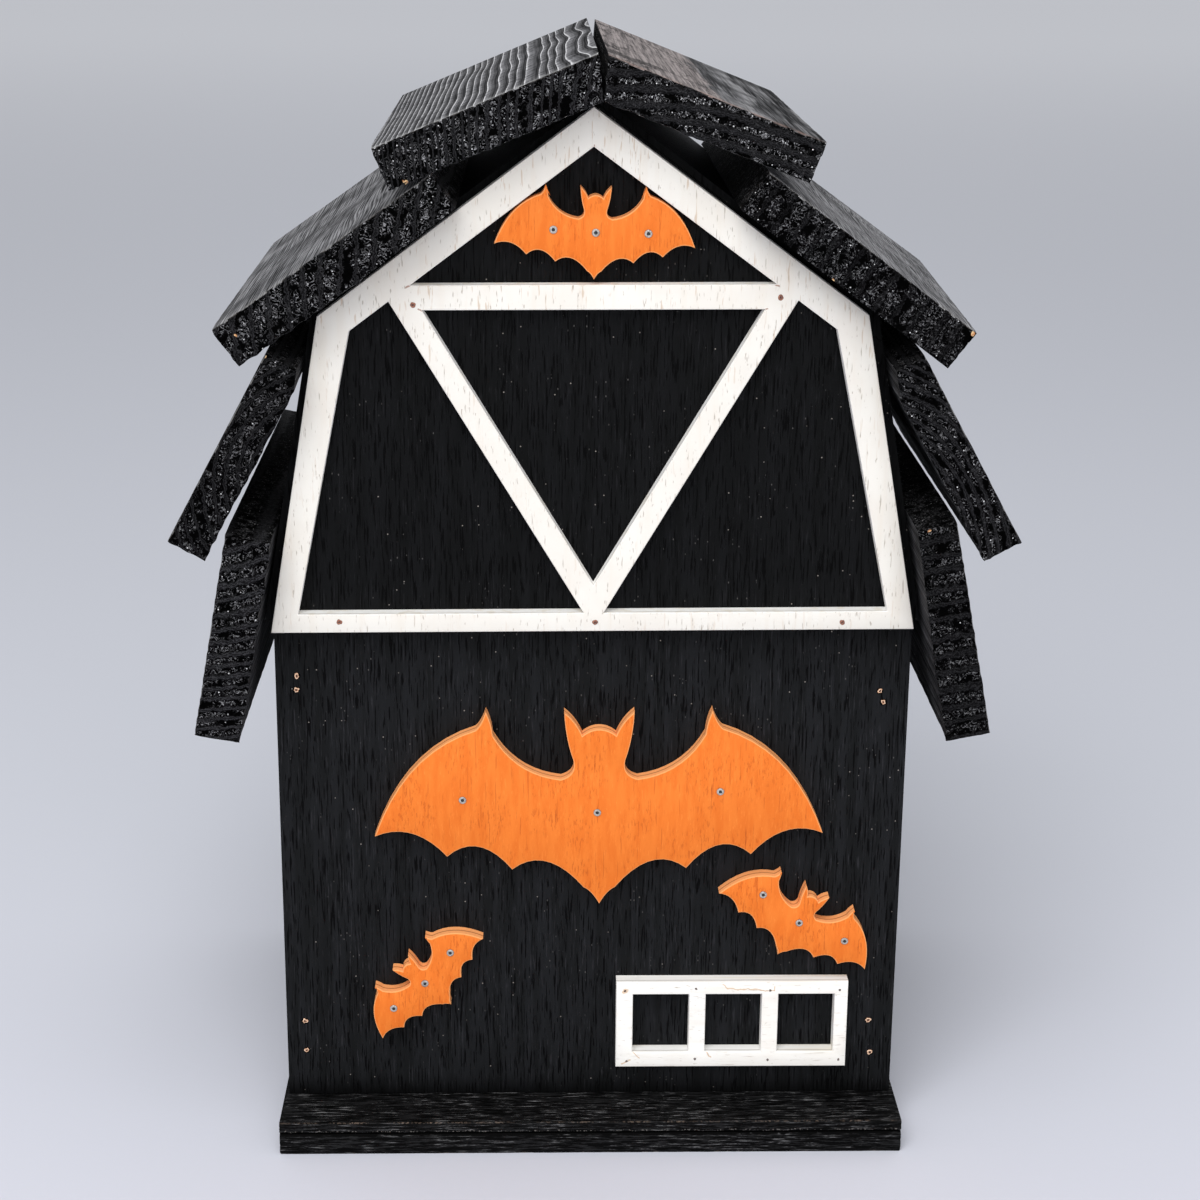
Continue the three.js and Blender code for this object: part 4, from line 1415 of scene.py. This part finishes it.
WINDOW_STROKES: tuple[Stroke, ...] = (
    ((19.1, 89.5), (19.7, 89.7), 3.0),
    ((75.3, 93.6), (77.6, 90.9), 0.7),
    ((77.6, 90.9), (105.0, 89.6), 0.8),
    ((105.0, 89.6), (105.2, 92.2), 0.6),
    ((17.5, 43.0), (22.5, 45.6), 0.9),
    # The next two are painted shadows in the lower left corners of the first two panes.
    ((23.8, 50.6), (28.0, 46.9), 0.7),
    ((65.8, 50.6), (69.5, 47.5), 0.7),
)


@dataclass
class WindowFrame:
    """White window frame of three panes, one board."""

    left: float = 14.3
    foot: float = 41.3
    width: float = 132.9
    height: float = 53.8
    stiles: Spot = (9.5, 7.6)
    mullion: float = 9.4
    rails: Spot = (9.3, 7.8)
    panes: int = 3

    def build(self) -> None:
        """Saw the frame and paint it."""
        pane = (self.width - sum(self.stiles) - (self.panes - 1) * self.mullion) / self.panes
        low, high = self.foot + self.rails[0], self.foot + self.height - self.rails[1]

        def box(left: float, right: float, bottom: float, top: float) -> list[Spot]:
            """A four-cornered outline in metres."""
            corners = ((left, bottom), (right, bottom), (right, top), (left, top))
            return [(x * MM, z * MM) for x, z in corners]

        loops = [box(self.left, self.left + self.width, self.foot, self.foot + self.height)]
        for index in range(self.panes):
            edge = self.left + self.stiles[0] + index * (pane + self.mullion)
            loops.append(box(edge, edge + pane, low, high))
        finish = TrimPaint(
            "window_white", stretch=(0.07, 1.0, 1.0), stubs=(0.3, 1.0, 1.0), marks=(0.50, 0.43, 0.35),
            tint=0.3, depth=0.4, body=(0.90, 0.885, 0.845), shaded=(0.87, 0.845, 0.79),
            strokes=WINDOW_STROKES, stroke_tone=(0.62, 0.40, 0.22),
        )
        sawn_plate("window", loops, finish.make(), "white_paint", "window_frame")


BAT_TAIL: Spot = (0.0, -0.335)
BAT_EDGE: tuple[tuple[Spot, Spot], ...] = (  # bend and end of each curve of the right half
    ((0.035, -0.27), (0.07, -0.255)),
    ((0.24, -0.045), (0.39, -0.165)),
    ((0.54, 0.025), (0.68, -0.1)),
    ((0.83, 0.075), (1.0, 0.0)),
    ((0.86, 0.4), (0.545, 0.5)),
    ((0.515, 0.53), (0.5, 0.585)),
    ((0.475, 0.535), (0.47, 0.475)),
    ((0.37, 0.29), (0.17, 0.265)),
    ((0.1, 0.285), (0.115, 0.355)),
    ((0.15, 0.46), (0.155, 0.58)),
    ((0.1, 0.535), (0.075, 0.47)),
    ((0.04, 0.5), (0.0, 0.5)),
)


@dataclass
class Bat:
    """A cut-out bat with three brads through it."""

    name: str
    centre: Spot
    span: float
    turn: float
    brads: tuple[Spot, Spot, Spot]
    steps: int = 9

    def on_gable(self, share: Spot) -> Spot:
        """The place of a point of the bat.

        Args:
            share: The point in shares of half the span.

        Returns:
            Its x and z in millimetres.
        """
        angle = math.radians(self.turn)
        x, z = share[0] * self.span / 2, share[1] * self.span / 2
        across = self.centre[0] + x * math.cos(angle) - z * math.sin(angle)
        return across, self.centre[1] + x * math.sin(angle) + z * math.cos(angle)

    def _outline(self) -> list[Spot]:
        """Returns the whole outline in shares, from the tail round the right wing."""
        half = [BAT_TAIL]
        for bend, to in BAT_EDGE:
            start = half[-1]
            for step in range(1, self.steps + 1):
                t = step / self.steps
                weights = ((1 - t) ** 2, 2 * t * (1 - t), t**2)
                half.append(
                    tuple(sum(w * p[i] for w, p in zip(weights, (start, bend, to))) for i in (0, 1))
                )
        return [*half, *[(-x, z) for x, z in reversed(half) if x > 1e-6]]

    def build(self) -> None:
        """Saw the bat and paint it."""
        loop = [tuple(value * MM for value in self.on_gable(share)) for share in self._outline()]
        finish = BatPaint(f"{self.name}_orange", math.radians(self.turn), self.span)
        sawn_plate(f"{self.name}_cutout", [loop], finish.make(), "orange_paint", self.name)


@dataclass
class NailHead:
    """The visible head of a nail, made once and copied to its places."""

    name: str
    radius: float
    cup: float
    proud: float
    finish: NailMetal
    pit: NailMetal
    uneven: float = 0.0

    def build(self, spots: Sequence[tuple[str | None, float, float, float]], slot: str) -> None:
        """Make one head and copy it.

        Args:
            spots: The node each head stands for, if any, and its place in millimetres.
            slot: Not used.
        """
        clear_selection()
        bpy.ops.mesh.primitive_cylinder_add(
            vertices=20, radius=self.radius * MM, depth=1.4 * MM, rotation=(math.pi / 2, 0.0, 0.0)
        )
        head = Workpiece(self.name)
        head.settle()
        head.open()
        front = -0.7 * MM + 1e-5
        head.pick("FACE", lambda face: face.calc_center_median().y < front)
        bpy.ops.mesh.inset(thickness=0.12 * self.radius * MM, depth=0.12 * self.radius * MM)
        bpy.ops.mesh.inset(thickness=(self.radius * 0.88 - self.cup) * MM, depth=0.0)
        bpy.ops.mesh.inset(thickness=0.25 * self.cup * MM, depth=-0.25 * self.cup * MM)
        bpy.ops.mesh.inset(thickness=0.4 * self.cup * MM, depth=-0.2 * self.cup * MM)
        head.face_out()
        head.close()
        for metal in (self.finish, self.pit):
            head.mesh.materials.append(metal.make())
        for polygon in head.mesh.polygons:
            out = math.hypot(polygon.center.x, polygon.center.z) / MM
            polygon.material_index = 1 if out < self.cup or out > self.radius * 0.93 else 0
        head.smooth(50.0)
        for index, (node, x, y, z) in enumerate(spots):
            if index + 1 < len(spots):
                copy = head.obj.copy()
                copy.data = head.mesh.copy()
                bpy.context.collection.objects.link(copy)
            else:
                copy = head.obj
            copy.name = f"{node}_head" if node else f"{self.name}_{index + 1}"
            self._batter(copy.data, index)
            copy.data.transform(Matrix.Translation(Vector((x, y - self.proud + 0.7, z)) * MM))
            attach(copy, "root")
            if node:
                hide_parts(node)
        LOG.info("%s: %d heads", self.name, len(spots))

    def _batter(self, mesh: bpy.types.Mesh, index: int) -> None:
        """Knock a head out of round.

        Args:
            mesh: The head's own mesh.
            index: Its number, so that no two are alike.
        """
        for vertex in mesh.vertices:
            angle = math.atan2(vertex.co.z, vertex.co.x)
            round_it = (math.cos(angle) * 1.3, math.sin(angle) * 1.3, 3.7 * index + self.radius)
            lump = noise.noise(Vector(round_it))
            swell = 1.0 - self.uneven * (0.3 - lump)
            vertex.co.x *= swell
            vertex.co.z *= swell


@dataclass
class Ornaments:
    """Bats, brads and nails on the front."""

    bats: tuple[Bat, ...] = (
        Bat(
            "large_bat", (3.7, 186.0), 250.7, 0.4,
            ((-0.607, 0.172), (-0.009, 0.108), (0.538, 0.203)),
        ),
        Bat(
            "attic_bat", (-1.4, 515.5), 104.3, -1.0,
            ((-0.415, 0.153), (0.007, 0.132), (0.53, 0.134)),
        ),
        Bat(
            "small_left_bat", (-90.6, 91.1), 85.1, 47.2,
            ((-0.56, 0.196), (-0.003, 0.135), (0.56, 0.188)),
        ),
        Bat(
            "small_right_bat", (114.0, 126.3), 96.9, -29.3,
            ((-0.545, 0.24), (0.009, 0.138), (0.595, 0.199)),
        ),
    )
    panel_nails: tuple[Spot, ...] = (
        (-163.9, 268.7), (-163.1, 276.8), (-164.7, 66.7), (-164.1, 48.1),
        (161.0, 261.5), (159.0, 268.0), (160.9, 65.9), (162.9, 45.2),
    )
    trim_nails: tuple[Spot, ...] = (
        (-96.1, 484.3), (96.1, 489.0), (-138.4, 310.9), (0.4, 310.9), (135.1, 310.9),
    )
    window_pins: tuple[Spot, ...] = (
        (19.4, 89.6), (59.8, 90.8), (102.5, 89.7), (142.4, 89.9),
        (20.6, 45.0), (60.1, 46.2), (102.2, 45.5), (143.3, 45.5),
    )

    def build(self) -> None:
        """Build the bats, then every nail head."""
        for bat in self.bats:
            bat.build()
        brads = [
            (f"{bat.name}_brad_{index + 1}", *self._spot(bat, share))
            for bat in self.bats
            for index, share in enumerate(bat.brads)
        ]
        steel = NailMetal("brad_steel", (0.50, 0.48, 0.46), (0.30, 0.27, 0.25), 0.5, 0.4)
        hole = NailMetal("brad_hole", (0.03, 0.037, 0.042), (0.012, 0.013, 0.016), 0.2, 0.6)
        NailHead("brad", 2.1, 0.95, 0.35, steel, hole).build(brads, "steel")
        brown = NailMetal("trim_nail_brown", (0.34, 0.14, 0.085), (0.14, 0.06, 0.045), 0.1, 0.55)
        umber = NailMetal("trim_nail_umber", (0.11, 0.055, 0.045), (0.05, 0.035, 0.035), 0.1, 0.6)
        trim = [(f"trim_nail_{i + 1}", x, PLATE_FRONT, z) for i, (x, z) in enumerate(self.trim_nails)]
        NailHead("trim_nail", 1.65, 0.6, 0.1, brown, umber, 0.25).build(trim, "steel")
        tan = NailMetal("panel_nail_tan", (0.84, 0.60, 0.43), (0.60, 0.33, 0.19), 0.0, 0.7)
        rust = NailMetal("panel_nail_rust", (0.13, 0.045, 0.02), (0.05, 0.018, 0.01), 0.0, 0.7)
        panel = [(f"panel_nail_{i + 1}", x, PANEL_FACE, z) for i, (x, z) in enumerate(self.panel_nails)]
        NailHead("panel_nail", 1.75, 0.95, 0.15, tan, rust, 0.6).build(panel, "steel")
        dark = NailMetal("window_pin_dark", (0.11, 0.075, 0.06), (0.05, 0.04, 0.04), 0.1, 0.5)
        pins = [(None, x, PLATE_FRONT, z) for x, z in self.window_pins]
        NailHead("window_pin", 0.8, 0.4, 0.08, dark, umber, 0.5).build(pins, "steel")

    def _spot(self, bat: Bat, share: Spot) -> Place:
        """The place of a brad on the face of a bat."""
        x, z = bat.on_gable(share)
        return x, PLATE_FRONT, z


# Studio


@dataclass
class Studio:
    """Floor, soft lamps and the camera."""

    eye: Place = (-0.030861, -1.343169, 0.698197)
    lens: float = 70.42
    pitch: float = 17.117
    yaw: float = 1.592
    roll: float = 0.511
    lamps: tuple[tuple[str, Place, Place, float, float], ...] = (
        ("key_lamp", (-0.8, -2.3, 2.7), (0.0, 0.0, 0.25), 2.0, 52.0),
        ("fill_lamp", (0.4, -2.9, 1.1), (0.0, 0.0, 0.25), 1.6, 22.5),
        ("high_lamp", (-0.2, -1.3, 2.9), (0.0, 0.0, 0.4), 1.6, 19.5),
    )

    def build(self) -> None:
        """Set up the whole studio."""
        self._floor()
        self._sky()
        for lamp in self.lamps:
            self._lamp(*lamp)
        self._camera()

    def _floor(self) -> None:
        """Lay a wide sheet of paper under the box."""
        clear_selection()
        bpy.ops.mesh.primitive_plane_add(size=90.0, location=(0.0, 35.0, 0.0))
        floor = Workpiece("studio_floor")
        floor.settle()
        floor.mesh.materials.append(StudioPaper("studio_paper").make())

    def _sky(self) -> None:
        """Light from all round, with a pale backdrop for the camera and for reflections."""
        world = bpy.data.worlds.new("studio_sky")
        bpy.context.scene.world = world
        sheet = FinishSheet("studio_sky", world)
        path = sheet.node("ShaderNodeLightPath").outputs
        camera, glossy, through = (
            Shade(sheet, path[f"Is {ray} Ray"]) for ray in ("Camera", "Glossy", "Transmission")
        )
        light, shown = (
            Shade(sheet, sheet.node("ShaderNodeBackground", None, {0: tone, 1: strength}).outputs[0])
            for tone, strength in (((1.0, 1.0, 1.0), 0.66), ((0.50, 0.51, 0.545), 1.0))
        )
        seen = camera + glossy + through
        mixed = sheet.node("ShaderNodeMixShader", None, {0: seen, 1: light, 2: shown})
        sheet.node("ShaderNodeOutputWorld", None, {"Surface": Shade(sheet, mixed.outputs[0])})

    def _lamp(self, name: str, place: Place, aim: Place, size: float, power: float) -> None:
        """Hang one soft lamp.

        Args:
            name: Its name.
            place: Where it hangs.
            aim: What it points at.
            size: Side of its panel in metres.
            power: Watts.
        """
        clear_selection()
        bpy.ops.object.light_add(type="AREA", location=place)
        lamp = bpy.context.active_object
        lamp.name = name
        lamp.data.shape = "SQUARE"
        lamp.data.size = size
        lamp.data.energy = power
        toward = Vector(aim) - Vector(place)
        lamp.rotation_euler = toward.to_track_quat("-Z", "Y").to_euler()

    def _camera(self) -> None:
        """Stand the camera where the photograph was taken from."""
        pitch, yaw, roll = (math.radians(v) for v in (self.pitch, self.yaw, self.roll))
        flat = math.cos(pitch)
        ahead = Vector((math.sin(yaw) * flat, math.cos(yaw) * flat, -math.sin(pitch)))
        level = Vector((math.cos(yaw), -math.sin(yaw), 0.0))
        above = level.cross(ahead)
        right = level * math.cos(roll) + above * math.sin(roll)
        up = above * math.cos(roll) - level * math.sin(roll)
        data = bpy.data.cameras.new("photo_camera")
        data.sensor_fit = "HORIZONTAL"
        data.sensor_width = 36.0
        data.lens = self.lens
        data.clip_start = 0.05
        data.clip_end = 200.0
        camera = bpy.data.objects.new("photo_camera", data)
        bpy.context.scene.collection.objects.link(camera)
        turn = Matrix((right, up, -ahead)).transposed().to_4x4()
        camera.matrix_world = Matrix.Translation(Vector(self.eye)) @ turn
        bpy.context.scene.camera = camera


def main() -> None:
    """Build the box from its base up, then the studio."""
    logging.basicConfig(level=logging.INFO, format="%(name)s %(message)s")
    Studio().build()
    Base().build()
    Body().dress()
    Roof().build()
    BarnTrim().build()
    WindowFrame().build()
    Ornaments().build()
    bpy.context.scene.view_settings.view_transform = "Standard"


if __name__ == "__main__":
    main()
